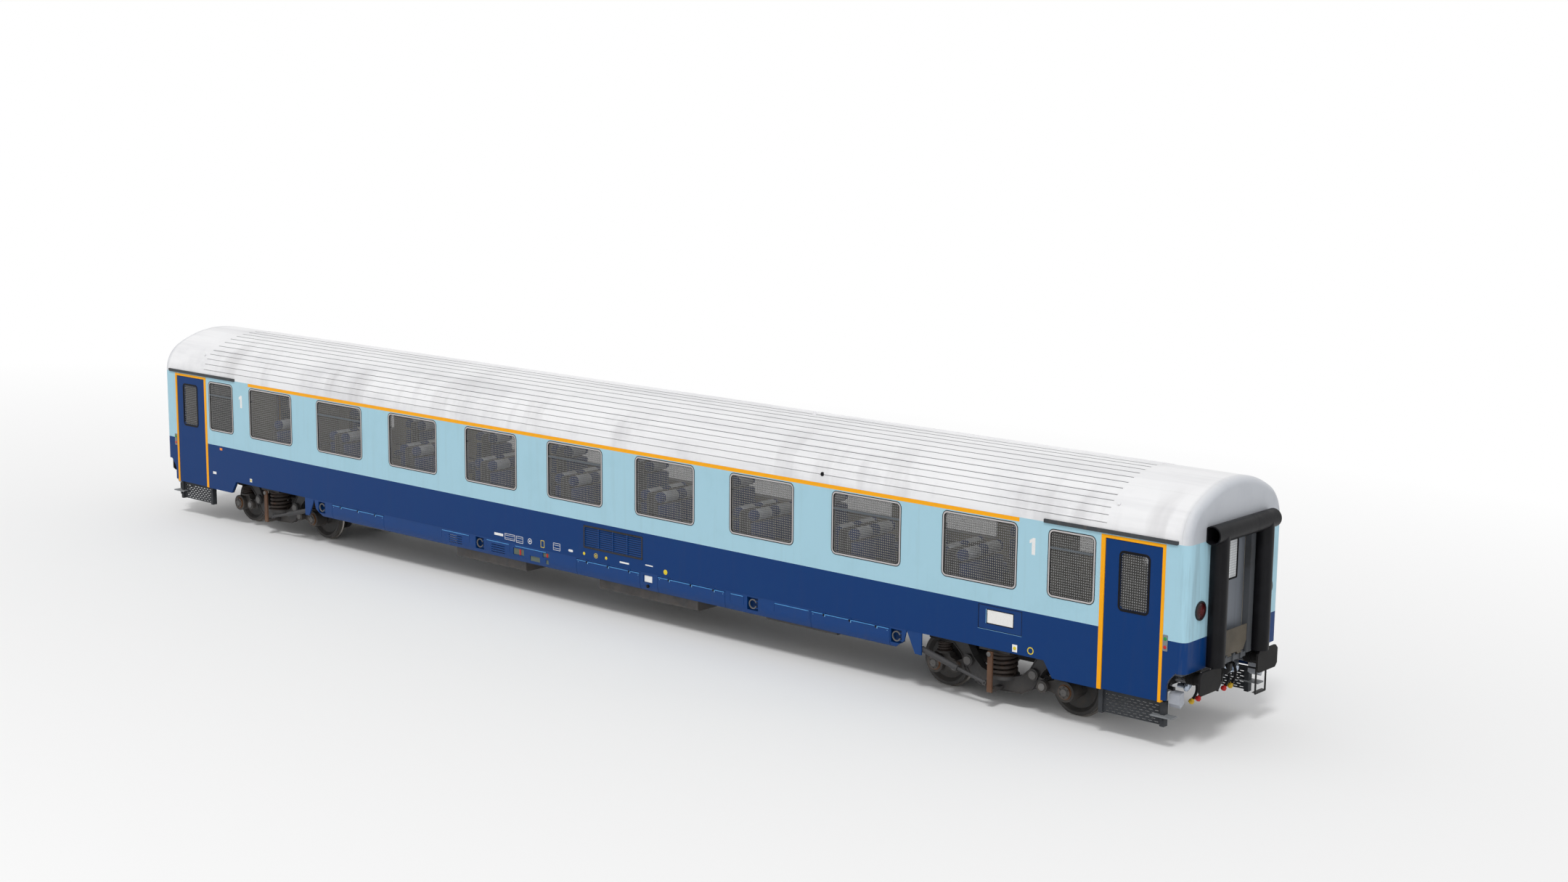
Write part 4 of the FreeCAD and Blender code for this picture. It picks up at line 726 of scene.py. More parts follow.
def build_grille_finish():
    """Blue louvres with painted shade in the slots between them, in a dark bronze rim."""
    material, weather, (_, x, _, z) = weathered("grille paint", 0.25, 0.4, 0.1)
    blue = blend(weather["Patches"] * 0.4, (0.003, 0.045, 0.185), (0.006, 0.045, 0.150))
    bronze = blend(weather["Patches"], (0.024, 0.021, 0.018), (0.014, 0.013, 0.012))
    along = abs(x - 1.001)
    above = abs(z - (1.4175 + RAIL))
    rim = maths("MAXIMUM", along > 0.735, above > 0.186)
    # Painted shade: dark stripes in the gaps between the louvres.
    pitch = (z - (1.236 + RAIL)) / 0.0403
    slot = maths("FRACT", pitch) < 0.35
    slot_shaded = blend(slot * 0.75, blue, (0.001, 0.010, 0.045))
    return wired(
        material, weather, Base_Color=blend(rim, slot_shaded, bronze),
        Roughness=spread(weather["Patches"], 0.34, 0.48),
    )


def build_bogie_paint():
    """Bogie frames: dusty black, worn to rust on the outer links."""
    material, skin, (_, x, y, _) = forged("bogie paint", 0.35, 0.26, 0.30)
    toned = blend(skin["Tone"], (0.024, 0.024, 0.025), (0.046, 0.046, 0.048))
    from_pivot = abs(x) - PIVOT_X
    outside = abs(y) > 1.373
    link = both_of(outside, within(from_pivot, 0.0, 0.052))
    rusty = blend(skin["Tone"], (0.060, 0.026, 0.012), (0.140, 0.062, 0.026))
    worn = blend(link * 0.85, blend(skin["Rust Mask"], toned, RUST), rusty)
    low = use(material, TRACK_DUST, Top=1.0, Depth=0.9)["Mask"]
    return wired(material, skin, Base_Color=blend(low * 0.28, worn, DUST))


def build_buffer_finish():
    """Buffers: polished casings behind dark collars and matt black heads."""
    material, skin, (_, x, _, _) = forged("buffer steel", 0.12, 0.15, 0.08)
    outwards = abs(x)
    casing = both_of(outwards > 12.596, outwards < 12.815)
    steel = blend(skin["Tone"], (0.110, 0.112, 0.118), (0.170, 0.172, 0.180))
    black = blend(skin["Tone"], (0.010, 0.010, 0.011), (0.020, 0.019, 0.018))
    body = blend(casing, black, blend(skin["Rust Mask"], steel, (0.070, 0.055, 0.045)))
    return wired(
        material, skin, Base_Color=body, Metallic=casing * 0.85, Roughness=spread(casing, 0.60, 0.24)
    )


FINISHES = {
    "roof_paint": build_roof_paint(),
    "side_paint": build_side_paint(),
    "blue_paint": build_skirt_paint(),
    "yellow_paint": painted("yellow paint", WARM_YELLOW, 0.25, 0.35, 0.6, (0.45, 0.25, 0.08)),
    "dark_grey_paint": painted("dark grey paint", (0.055, 0.060, 0.066), 0.4, 0.42, 0.4),
    "floor_covering": laminate("floor covering", (0.09, 0.10, 0.12), 0.6),
    "underframe_steel": metal("underframe steel", (0.022, 0.022, 0.024), 0.25, dust_top=1.4),
    "window_aluminium": build_window_frames(),
    "window_glass": build_glass(),
    "bronze_grille": build_grille_finish(),
    "display_plastic": build_display_finish(),
    "black_rubber": build_rubber(),
    "dark_steel": metal(
        "dark steel", (0.022, 0.023, 0.025), 0.22, grain=0.1, specular=0.25, dust_top=1.2, dust=0.25
    ),
    "lamp_red": build_tail_lamp_finish(),
    "hose_coupling": build_hose_heads(),
    "seat_fabric": woven("seat moquette", (0.012, 0.045, 0.190), (0.018, 0.060, 0.230)),
    "interior_panel": laminate("interior laminate", (0.36, 0.34, 0.29)),
    "rack_aluminium": build_brushed("rack aluminium", (0.50, 0.51, 0.52), 0.35),
    "underfloor_grey": metal(
        "underfloor sheet", (0.055, 0.055, 0.058), 0.2, grain=0.2, dust_top=1.1, dust=0.6
    ),
    "grey_door": build_end_door_finish(),
    "tread_plate": metal("tread plate", (0.085, 0.072, 0.053), 0.25, grain=0.2, dust_top=0.1, dust=0.1),
    "bogie_paint": build_bogie_paint(),
    "spring_steel": metal(
        "spring steel", (0.034, 0.026, 0.022), 0.45, specular=0.3, dust_top=0.7, dust=0.2
    ),
    "wheel_steel": build_wheel_steel(),
}
END_PAINT = build_end_paint()
DOOR_PAINT = painted("door paint", DARK_BLUE, 0.12, 0.30, 0.8, (0.045, 0.050, 0.085))
GASKET = build_rubber("gasket rubber", 0.8)
STEP_PAINT = build_step_finish()
END_FITTING = build_end_fitting_finish()
AXLE_BOX = build_axle_box_finish()
BUFFER_STEEL = build_buffer_finish()
DAMPER_STEEL = metal(
    "damper tube", (0.034, 0.035, 0.038), 0.12, grain=0.12, specular=0.5, dust_top=1.0, dust=0.2
)
BRIGHT_BOSS = metal(
    "turned boss", (0.105, 0.102, 0.100), 0.30, grain=0.15, specular=0.5, dust_top=1.0, dust=0.2
)
BOLT_STEEL = metal(
    "bolt steel", (0.045, 0.042, 0.040), 0.30, grain=0.1, specular=0.4, dust_top=1.0, dust=0.2
)
SOCKET_COVER = build_brushed("polished socket cover", (0.50, 0.57, 0.68), 0.2)
HEAD_COVER = woven("head cover cloth", (0.62, 0.66, 0.74), (0.55, 0.59, 0.67), 340.0)
SEAT_SHELL = laminate("seat shell", (0.13, 0.125, 0.125), 0.45)
MARK_WHITE = enamel("white enamel", (0.78, 0.78, 0.77))
MARK_YELLOW = enamel("yellow enamel", (0.72, 0.55, 0.015))
MARK_ORANGE = enamel("orange enamel", (0.80, 0.25, 0.03))
MARK_RED = enamel("red enamel", (0.50, 0.012, 0.012))
MARK_GREEN = enamel("green enamel", (0.010, 0.26, 0.035))
MARK_GREY = enamel("grey enamel", (0.085, 0.110, 0.085))
# Light blue for painted highlights on edges, catches and screw heads.
HIGHLIGHT_BLUE = enamel("painted highlight blue", (0.160, 0.380, 0.640))
DISPLAY_WHITE = enamel("blank display", (0.80, 0.79, 0.76))
DIFFUSER = build_diffuser()
# Dark strips under the roof beads: painted shadow, with some grime.
RIB_SHADOW_AND_GRIME = metal("rib shadow and grime", (0.075, 0.075, 0.085), 0.1, grain=0.2, dust_top=0.1, dust=0.0)

# Pieces whose finish differs from the rest of their slot.
OWN_FINISHES = {
    "end_wall_front": END_PAINT, "end_wall_rear": END_PAINT, "entrance_doors": DOOR_PAINT,
    "door_steps": STEP_PAINT, "end_fittings": END_FITTING, "buffers": BUFFER_STEEL,
    "yaw_dampers": DAMPER_STEEL,
    "bogie_swing_arms_front": AXLE_BOX, "bogie_swing_arms_rear": AXLE_BOX,
}


def finish_nodes():
    """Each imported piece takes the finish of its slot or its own."""
    for part in frame["record"]["subparts"]:
        node = part["node"]
        piece = frame["nodes"][node]
        piece.data.materials.clear()
        piece.data.materials.append(None)
        piece.material_slots[0].link = "OBJECT"
        piece.material_slots[0].material = OWN_FINISHES.get(node, FINISHES[part["material_slot"]])
    for hose in hoses:
        hose.data.materials.append(FINISHES["black_rubber"])


finish_nodes()


# ---- Mesh helpers ----
def up(height):
    """Height over the floor of a height over the rail."""
    return height + RAIL


def mesh_from(name, bm, sharp=35.0):
    """Mesh that is smooth but for edges sharper than the angle."""
    bmesh.ops.recalc_face_normals(bm, faces=bm.faces[:])
    mesh = bpy.data.meshes.new(name)
    bm.to_mesh(mesh)
    bm.free()
    mesh.polygons.foreach_set("use_smooth", [True] * len(mesh.polygons))
    mesh.set_sharp_from_angle(angle=math.radians(sharp))
    return mesh


def linked(name, data):
    """Object of its data, in the scene."""
    made = bpy.data.objects.new(name, data)
    bpy.context.scene.collection.objects.link(made)
    return made


def add_piece(name, bm, material, body="coach_body"):
    """Piece of one material that rides on a body."""
    made = linked(name, mesh_from(name, bm))
    made.data.materials.append(material)
    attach(made, body)
    return made


def join_rings(bm, first, second):
    """Faces between two rings of points, either of which may be a single point."""
    count = max(len(first), len(second))
    for number in range(count):
        after = (number + 1) % count
        if len(first) == 1:
            bm.faces.new((first[0], second[number], second[after]))
        elif len(second) == 1:
            bm.faces.new((first[number], first[after], second[0]))
        else:
            bm.faces.new((first[number], first[after], second[after], second[number]))


def join_all(bm, rings, capped=True):
    """Faces between each ring and the next, and over both ends if the run is capped."""
    for first, second in zip(rings, rings[1:]):
        join_rings(bm, first, second)
    if capped:
        bm.faces.new(rings[0])
        bm.faces.new(rings[-1])


def middle_of(outline):
    return Vector((sum(one[0] for one in outline), sum(one[1] for one in outline))) / len(outline)


def lathe(bm, profile, at, axis, steps):
    """Surface turned about an axis from (along, radius) points; a radius of zero closes it."""
    axis = Vector(axis).normalized()
    side = axis.orthogonal().normalized()
    other = axis.cross(side)
    rings = []
    for along, radius in profile:
        centre = Vector(at) + axis * along
        if radius == 0:
            rings.append([bm.verts.new(centre)])
            continue
        turns = [2 * math.pi * step / steps for step in range(steps)]
        rings.append(
            [
                bm.verts.new(
                    centre + (side * math.cos(turn) + other * math.sin(turn)) * radius
                ) for turn in turns
            ]
        )
    join_all(bm, rings, capped=False)


def tube(bm, points, outward, radius, sides):
    """Round bar along points, with the direction away from its bend at each."""
    rings = []
    for number, point in enumerate(points):
        before = points[max(number - 1, 0)]
        after = points[min(number + 1, len(points) - 1)]
        away = outward[number].normalized()
        across = (after - before).normalized().cross(away)
        ring = []
        for side in range(sides):
            turn = 2 * math.pi * side / sides
            ring.append(bm.verts.new(point + (away * math.cos(turn) + across * math.sin(turn)) * radius))
        rings.append(ring)
    join_all(bm, rings, capped=False)
    join_rings(bm, rings[0], [bm.verts.new(points[0])])
    join_rings(bm, rings[-1], [bm.verts.new(points[-1])])


def rounded_outline(width, height, radius, steps=5):
    """Rounded rectangle about its middle, as (across, up) points."""
    points = []
    for quarter, (across, above) in enumerate(((1, 1), (-1, 1), (-1, -1), (1, -1))):
        for step in range(steps + 1):
            turn = (quarter + step / steps) * math.pi / 2
            points.append((
                across * (width / 2 - radius) + radius * math.cos(turn),
                above * (height / 2 - radius) + radius * math.sin(turn),
            ))
    return points


def moulding(bm, size, section, at):
    """Moulding round a rounded opening, from (inset, proud) points of its section."""
    width, height, radius = size
    loops = []
    for inset, proud in section:
        outline = rounded_outline(width - 2 * inset, height - 2 * inset, radius - inset)
        loops.append([bm.verts.new(at(across, above, proud)) for across, above in outline])
    for first, second in zip(loops, loops[1:] + loops[:1]):
        join_rings(bm, first, second)


def plaque(bm, outline, edge, at):
    """Thin plate with a softened rim, from (across, up) points and the rim's (inset share, proud) steps."""
    middle = middle_of(outline)
    loops = []
    for share, proud in edge:
        points = [middle + (Vector(one) - middle) * (1 - share) for one in outline]
        loops.append([bm.verts.new(at(point.x, point.y, proud)) for point in points])
    join_all(bm, loops)


def on_side(x, z, side, face=HALF_WIDTH):
    """Placer for details on a side of the coach, about a point on it."""
    return lambda across, above, proud: Vector((x + across, side * (face + proud), up(z) + above))


def on_end(y, z, sign, face):
    """Placer for details that face along the coach."""
    return lambda across, above, proud: Vector((sign * (face + proud), y + across, up(z) + above))


# ---- Window and door seals ----
WINDOW_PITCH = 2.310
WINDOW_COUNT = 9
WINDOW_Z = 2.565
WINDOW_SIZE = (1.456, 1.070, 0.090)
SMALL_WINDOW_X = 10.991
SMALL_WINDOW_SIZE = (0.856, 1.070, 0.090)
DOOR_WINDOW = (12.121, 2.490)
DOOR_WINDOW_SIZE = (0.548, 0.940, 0.080)
DOOR_FACE = 1.4075
END_DOOR_FACE = 12.964
OUTER_SEAL = (
    (-0.012, -0.004), (-0.012, 0.002), (-0.009, 0.0055), (-0.003, 0.0055), (0.001, 0.0040), (0.001, -0.004)
)
GLAZING_BEAD = (
    (0.026, 0.002), (0.0275, 0.0050), (0.031, 0.0050), (0.035, 0.0005), (0.035, -0.0115), (0.029, -0.0115)
)
DOOR_SEAL = (
    (-0.003, -0.004), (-0.003, 0.002), (0.004, 0.0075), (0.028, 0.0085), (0.040, 0.002), (0.040, -0.011),
    (0.030, -0.011),
)


def make_seals():
    """Black rubber round every window: outside the metal frames, along the panes, and on the doors."""
    openings = [
        ((number - (WINDOW_COUNT - 1) / 2) * WINDOW_PITCH, WINDOW_SIZE) for number in range(WINDOW_COUNT)
    ]
    openings += [(sign * SMALL_WINDOW_X, SMALL_WINDOW_SIZE) for _, sign in ENDS]
    for side_name, side in SIDES:
        bm = bmesh.new()
        for x, size in openings:
            for section in (OUTER_SEAL, GLAZING_BEAD):
                moulding(bm, size, section, on_side(x, WINDOW_Z, side))
        for _, sign in ENDS:
            moulding(
                bm, DOOR_WINDOW_SIZE, DOOR_SEAL,
                on_side(sign * DOOR_WINDOW[0], DOOR_WINDOW[1], side, DOOR_FACE),
            )
        add_piece(f"window_seals_{side_name}", bm, GASKET)
    for end, sign in ENDS:
        bm = bmesh.new()
        section = (
            (-0.014, -0.002), (-0.014, 0.001), (-0.006, 0.0025), (0.006, 0.0025), (0.010, -0.010),
            (0.002, -0.012),
        )
        moulding(bm, (0.400, 0.610, 0.014), section, on_end(0.0, 2.755, sign, END_DOOR_FACE))
        add_piece(f"end_door_seal_{end}", bm, GASKET, "end_door_" + end)


# ---- Roof ----
HAUNCH_TURN = math.atan2(CROWN_DROP, HAUNCH_Y)
FIRST_RIBS = (0.159, 0.282, 0.404, 0.527, 0.650)
RIB_PITCH = 0.167
RIB_REACH = 11.597
HAUNCH_END = 0.600


def roof_point(distance):
    """Point of the roof and its outward direction, by distance along the roof from the left eave."""
    haunch = HAUNCH_RADIUS * HAUNCH_TURN
    if distance < haunch:
        turn = distance / HAUNCH_RADIUS
        normal = Vector((0, math.cos(turn), math.sin(turn)))
        return Vector((0, HAUNCH_Y, up(EAVES))) + normal * HAUNCH_RADIUS, normal
    turn = HAUNCH_TURN + (distance - haunch) / CROWN_RADIUS
    normal = Vector((0, math.cos(turn), math.sin(turn)))
    return Vector((0, 0, up(EAVES - CROWN_DROP))) + normal * CROWN_RADIUS, normal


def make_rib_shadow_lines():
    """Painted shadow line, with some grime, along the lower foot of each roof bead."""
    half_girth = HAUNCH_RADIUS * HAUNCH_TURN + CROWN_RADIUS * (math.pi / 2 - HAUNCH_TURN)
    distances = list(FIRST_RIBS)
    while distances[-1] + RIB_PITCH < half_girth - RIB_PITCH / 2:
        distances.append(distances[-1] + RIB_PITCH)
    distances.append(half_girth)
    bm = bmesh.new()
    for distance in distances:
        width = 0.004 if distance < HAUNCH_END else 0.008
        for side in (1, -1):
            rings = []
            for x in (-RIB_REACH, RIB_REACH):
                ring = []
                for along, proud in ((0, -0.001), (0, 0.001), (width, 0.003), (width, -0.001)):
                    point, normal = roof_point(distance - 0.0135 - width + along)
                    point += normal * proud
                    ring.append(bm.verts.new((x, side * point.y, point.z)))
                rings.append(ring)
            join_rings(bm, *rings)
            for ring in rings:
                bm.faces.new(ring)
    add_piece("roof_rib_shadow_lines", bm, RIB_SHADOW_AND_GRIME)


# ---- Springs ----
# Springs of one bogie quarter, as (distance along from the pivot, foot, head, coils as (radius, bar, turns)).
PRIMARY_SPRING = (1.180, 0.665, 0.830, ((0.103, 0.0200, 3.4), (0.058, 0.0110, 5.2)))
SECONDARY_SPRING = (0.000, 0.496, 0.900, ((0.200, 0.0300, 5.2), (0.120, 0.0190, 8.0)))
COIL_STEPS = 26


def coil(bm, centre, foot, head, radius, bar, turns):
    """Helical spring whose end turns lie flat."""
    steps = round(turns * COIL_STEPS)
    points = []
    outward = []
    for step in range(steps + 1):
        turned = turns * step / steps
        risen = min(max((turned - 0.6) / (turns - 1.2), 0.0), 1.0)
        away = Vector((math.cos(2 * math.pi * turned), math.sin(2 * math.pi * turned), 0))
        height = foot + bar + (head - foot - 2 * bar) * risen
        points.append(Vector((centre[0], centre[1], up(height))) + away * radius)
        outward.append(away)
    tube(bm, points, outward, bar, 10)


def make_springs():
    for end, sign in ENDS:
        bm = bmesh.new()
        for x, foot, head, coils in (PRIMARY_SPRING, SECONDARY_SPRING):
            for along in ((x, -x) if x else (0.0,)):
                for side in (1, -1):
                    centre = (sign * PIVOT_X + along, side * JOURNAL_Y)
                    widest = coils[0][0] + coils[0][1]
                    for radius, bar, turns in coils:
                        coil(bm, centre, foot + 0.012, head - 0.012, radius, bar, turns)
                    for start, direction in ((foot, 1), (head, -1)):
                        pad = ((0, 0), (0, widest), (0.008, widest), (0.012, widest - 0.006), (0.014, 0))
                        lathe(bm, pad, (*centre, up(start)), (0, 0, direction), 32)
        springs = add_piece(
            f"coil_springs_{end}", bm, FINISHES["spring_steel"], "bogie_" + end
        )
        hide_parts("bogie_coil_springs_" + end)


# ---- Bolts, bosses and screws ----
AXLE_COVER_Y = 1.190
ARM_PIVOT = (0.860, 0.470)
TRANSOM_X = 0.640
HEADSTOCK_FACE = 12.570
BUFFER_Y = 0.875
BUFFER_Z = 1.050
# Place of each roof cap, along the coach and up the haunch's arc.
CAP_X = 5.967
CAP_TURN = 0.234


def bolt(bm, at, axis, size):
    """Hexagon head on a round washer."""
    lathe(
        bm, ((0, size * 1.35), (size * 0.2, size * 1.35), (size * 0.25, size * 1.25), (size * 0.25, 0)), at,
        axis, 14,
    )
    lathe(
        bm, ((size * 0.2, size), (size * 0.8, size), (size * 0.95, size * 0.8), (size * 0.95, 0)), at, axis,
        6,
    )


def make_bogie_fixings():
    """Bolts round the axle-box covers and bright turned caps on the arms' pivots."""
    for end, sign in ENDS:
        bolts = bmesh.new()
        caps = bmesh.new()
        for side in (1, -1):
            outwards = (0, side, 0)
            for along in (AXLE_OFFSET, -AXLE_OFFSET):
                x = sign * PIVOT_X + along
                for number in range(6):
                    turn = (number + 0.5) * math.pi / 3
                    at = (
                        x + 0.086 * math.cos(turn), side * AXLE_COVER_Y,
                        up(WHEEL_RADIUS) + 0.086 * math.sin(turn),
                    )
                    bolt(bolts, at, outwards, 0.011)
                centre = (x, side * AXLE_COVER_Y, up(WHEEL_RADIUS))
                lathe(
                    caps,
                    (
                        (0, 0.060), (0.008, 0.060), (0.014, 0.054), (0.014, 0.020), (0.010, 0.016),
                        (0.010, 0),
                    ),
                    centre,
                    outwards,
                    32,
                )
            for along in (ARM_PIVOT[0], -ARM_PIVOT[0]):
                centre = (sign * PIVOT_X + along, side * AXLE_COVER_Y, up(ARM_PIVOT[1]))
                lathe(
                    caps, ((-0.004, 0.060), (0.010, 0.060), (0.016, 0.053), (0.016, 0)), centre, outwards,
                    32,
                )
            for along in (TRANSOM_X, -TRANSOM_X):
                centre = (sign * PIVOT_X + along, side * 1.130, up(0.610))
                lathe(
                    caps, ((-0.004, 0.072), (0.012, 0.072), (0.020, 0.064), (0.020, 0)), centre, outwards,
                    32,
                )
            pin = (sign * PIVOT_X - 0.020, side * 1.410, up(0.885))
            lathe(caps, ((-0.004, 0.040), (0.008, 0.040), (0.012, 0.034), (0.012, 0)), pin, outwards, 28)
        add_piece(f"axle_cover_bolts_{end}", bolts, BOLT_STEEL, "bogie_" + end)
        add_piece(f"pivot_caps_{end}", caps, BRIGHT_BOSS, "bogie_" + end)


def make_end_covers():
    """Polished covers of the heating sockets, and the round caps on the roof's haunches."""
    covers = bmesh.new()
    caps = bmesh.new()
    cover = ((-0.004, 0.034), (0.125, 0.034), (0.130, 0.072), (0.160, 0.074), (0.182, 0.048), (0.186, 0))
    cap = ((-0.004, 0.036), (0.010, 0.036), (0.016, 0.030), (0.016, 0.012), (0.022, 0.010), (0.022, 0))
    for _, sign in ENDS:
        for side in (1, -1):
            lathe(covers, cover, (sign * HEADSTOCK_FACE, side * 0.742, up(0.845)), (sign, 0, 0), 32)
    for sign in (1, -1):
        leaning = Vector((0, sign * math.cos(CAP_TURN), math.sin(CAP_TURN)))
        centre = Vector((-sign * CAP_X, sign * HAUNCH_Y, up(EAVES))) + leaning * HAUNCH_RADIUS
        lathe(caps, cap, centre, leaning, 24)
    add_piece("socket_covers", covers, SOCKET_COVER)
    add_piece("roof_caps", caps, GASKET)


def make_end_bolts():
    """Four bolts in each buffer's base and six round the draw-hook plate."""
    bm = bmesh.new()
    for _, sign in ENDS:
        for side in (1, -1):
            for across in (-0.148, 0.148):
                for above in (-0.118, 0.086):
                    at = (sign * (HEADSTOCK_FACE + 0.025), side * BUFFER_Y + across, up(BUFFER_Z) + above)
                    bolt(bm, at, (sign, 0, 0), 0.017)
        for across in (-0.110, 0.110):
            for above in (0.965, 1.045, 1.125):
                bolt(bm, (sign * (HEADSTOCK_FACE + 0.030), across, up(above)), (sign, 0, 0), 0.014)
    add_piece("headstock_bolts", bm, BOLT_STEEL)


def make_grille_screws():
    bm = bmesh.new()
    head = ((0, 0.0075), (0.0015, 0.0075), (0.003, 0.0055), (0.003, 0.003), (0.0015, 0.0015), (0.0015, 0))
    for _, side in SIDES:
        for number in range(9):
            x = 0.260 + number * 0.185
            for z in (1.218, 1.617):
                lathe(bm, head, (x, side * (HALF_WIDTH + 0.004), up(z)), (0, side, 0), 12)
    add_piece("grille_screws", bm, BOLT_STEEL)


# ---- Signs, displays and controls ----
SKIRT_FACE = 1.4075
DISPLAY = (9.680, 1.505)
DISPLAY_RIM = ((0, -0.006), (0, -0.001), (0.005, 0.001), (0.012, -0.002), (0.015, -0.010), (0.002, -0.010))
DOOR_BUTTON_X = 12.705
GAUGE_X = 1.8975
PLATE_EDGE = ((0, -0.0005), (0, 0.0008), (0.02, 0.0012))
# Blank marks on each side, as (name, x, z, width, height, corner radius, finish).
MARKS = (
    ("label_1", -11.04, 1.645, 0.090, 0.050, 0.004, MARK_ORANGE),
    ("label_2", -11.30, 1.089, 0.120, 0.055, 0.004, MARK_WHITE),
    ("label_3", -9.99, 1.090, 0.075, 0.075, 0.004, MARK_WHITE),
    ("mark_3", -9.99, 1.090, 0.050, 0.050, 0.024, MARK_YELLOW),
    ("label_5", -2.10, 1.100, 0.250, 0.050, 0.004, MARK_WHITE),
    ("target", -1.225, 1.095, 0.036, 0.036, 0.017, MARK_WHITE),
    ("label_4", -0.11, 1.085, 0.120, 0.045, 0.020, MARK_WHITE),
    ("mark_4", 0.25, 1.090, 0.060, 0.060, 0.029, MARK_YELLOW),
    ("mark_5", 0.56, 1.092, 0.036, 0.036, 0.017, MARK_YELLOW),
    ("mark_6", 0.83, 1.090, 0.060, 0.060, 0.029, MARK_YELLOW),
    ("label_6", 1.30, 1.075, 0.240, 0.030, 0.004, MARK_WHITE),
    ("label_7", 1.93, 1.125, 0.190, 0.022, 0.004, MARK_WHITE),
    ("mark_7", 2.34, 1.069, 0.095, 0.095, 0.047, MARK_YELLOW),
    ("plate_1", 9.98, 1.075, 0.095, 0.120, 0.004, MARK_WHITE),
    ("mark_8", 9.98, 1.075, 0.060, 0.060, 0.029, MARK_YELLOW),
)
# Outlined blank panels, as (name, x, z, width, height, corner radius, line, finish).
OUTLINES = (
    ("data_grid_1", -1.785, 1.090, 0.290, 0.120, 0.009, 0.008, MARK_WHITE),
    ("data_grid_2", -1.510, 1.080, 0.190, 0.130, 0.009, 0.008, MARK_WHITE),
    ("data_grid_3", -0.487, 1.100, 0.190, 0.140, 0.009, 0.008, MARK_WHITE),
    ("target_ring", -1.225, 1.095, 0.110, 0.110, 0.054, 0.012, MARK_WHITE),
    ("square", -0.875, 1.095, 0.100, 0.140, 0.012, 0.010, MARK_YELLOW),
    ("ring_1", 0.56, 1.092, 0.095, 0.095, 0.047, 0.010, MARK_YELLOW),
    ("ring_2", 10.280, 1.090, 0.120, 0.120, 0.059, 0.016, MARK_YELLOW),
)
# Class digit, drawn upright in a box one unit high.
DIGIT = ((0.16, 0.00), (0.40, 0.00), (0.40, 1.00), (0.24, 1.00), (0.00, 0.84), (0.00, 0.64), (0.16, 0.73))
DIGIT_HEIGHT = 0.270
DIGIT_Z = 2.640


def make_marks():
    """Blank labels and marks low on each side, as thin enamelled plates."""
    for side_name, side in SIDES:
        for name, x, z, width, height, radius, colour in MARKS:
            bm = bmesh.new()
            lift = 0.0012 if name.startswith("mark") else 0.0
            place_on = on_side(x, z, side, HALF_WIDTH + lift)
            plaque(bm, rounded_outline(width, height, radius, 6), PLATE_EDGE, place_on)
            add_piece(f"{name}_{side_name}", bm, colour)
        for name, x, z, width, height, radius, line, colour in OUTLINES:
            bm = bmesh.new()
            section = ((0, -0.0005), (0, 0.001), (line, 0.001), (line, -0.0005))
            moulding(bm, (width, height, radius), section, on_side(x, z, side))
            if name.startswith("data_grid"):
                for above in (-0.2, 0.2):
                    bar = rounded_outline(width - line, 0.006, 0.002, 2)
                    plaque(bm, bar, ((0, -0.0005), (0, 0.0008)), on_side(x, z + above * height, side))
            add_piece(f"{name}_{side_name}", bm, colour)


def make_class_digits():
    """White class digit beside the small windows, readable from each side."""
    bm = bmesh.new()
    for side in (1, -1):
        for start in (10.205, -10.335):
            outline = [(start + across * DIGIT_HEIGHT, above * DIGIT_HEIGHT) for across, above in DIGIT]
            facing = -side

            def at(across, above, proud, facing=facing, side=side):
                return Vector((facing * across, side * (HALF_WIDTH + proud), up(DIGIT_Z) + above))

            plaque(bm, outline, ((0, -0.0005), (0, 0.0010)), at)
    add_piece("class_digits", bm, MARK_WHITE)


def make_displays():
    """Blank white display in each panel, with its rim and the panel's seal."""
    for side_name, side in SIDES:
        screen = bmesh.new()
        plaque(
            screen, rounded_outline(0.504, 0.214, 0.010), ((0, -0.002), (0, 0.002), (0.01, 0.004)),
            on_side(*DISPLAY, side, HALF_WIDTH - 0.010),
        )
        add_piece(f"display_{side_name}", screen, DISPLAY_WHITE)
        rim = bmesh.new()
        moulding(rim, (0.530, 0.240, 0.012), DISPLAY_RIM, on_side(*DISPLAY, side))
        moulding(
            rim, (0.846, 0.401, 0.006),
            ((0, -0.005), (0, 0.0005), (0.003, 0.002), (0.008, 0.0005), (0.010, -0.005)),
            on_side(9.680, 1.4875, side),
        )
        # Painted highlights: light blue strips along the panel's bottom edge and left of the display.
        edge = bmesh.new()
        for x, z, width, height in ((9.680, 1.2865, 0.850, 0.006), (9.412, 1.505, 0.012, 0.236)):
            outline = rounded_outline(width, height, 0.0025, 2)
            plaque(edge, outline, ((0, -0.001), (0, 0.0015), (0.01, 0.0022)), on_side(x, z, side))
        add_piece(f"display_edge_highlight_{side_name}", edge, HIGHLIGHT_BLUE)
        add_piece(f"display_rim_{side_name}", rim, GASKET)


def make_door_buttons():
    """Green button over a red one beside each entrance."""
    for name, z, colour in (("green", 1.730, MARK_GREEN), ("red", 1.600, MARK_RED)):
        bm = bmesh.new()
        for _, sign in ENDS:
            for side in (1, -1):
                cap = ((0.006, 0.0275), (0.011, 0.0275), (0.014, 0.025), (0.0165, 0.016), (0.0175, 0))
                lathe(bm, cap, (sign * DOOR_BUTTON_X, side * HALF_WIDTH, up(z)), (0, side, 0), 24)
        add_piece(f"door_buttons_{name}", bm, colour)


# Brake pockets in the skirt, as (first x, last x, bottom, top, whether it has a handle).
POCKETS = (
    (-1.700, -1.400, 0.770, 0.900, True), (-1.230, -0.960, 0.710, 0.815, False),
    (-0.880, -0.700, 0.840, 0.930, True), (-0.800, -0.720, 0.710, 0.800, False),
)
HOLDER_CENTRES = (-7.570, -2.660, 4.4325, 7.6035)
HOLDER_Z = 0.840


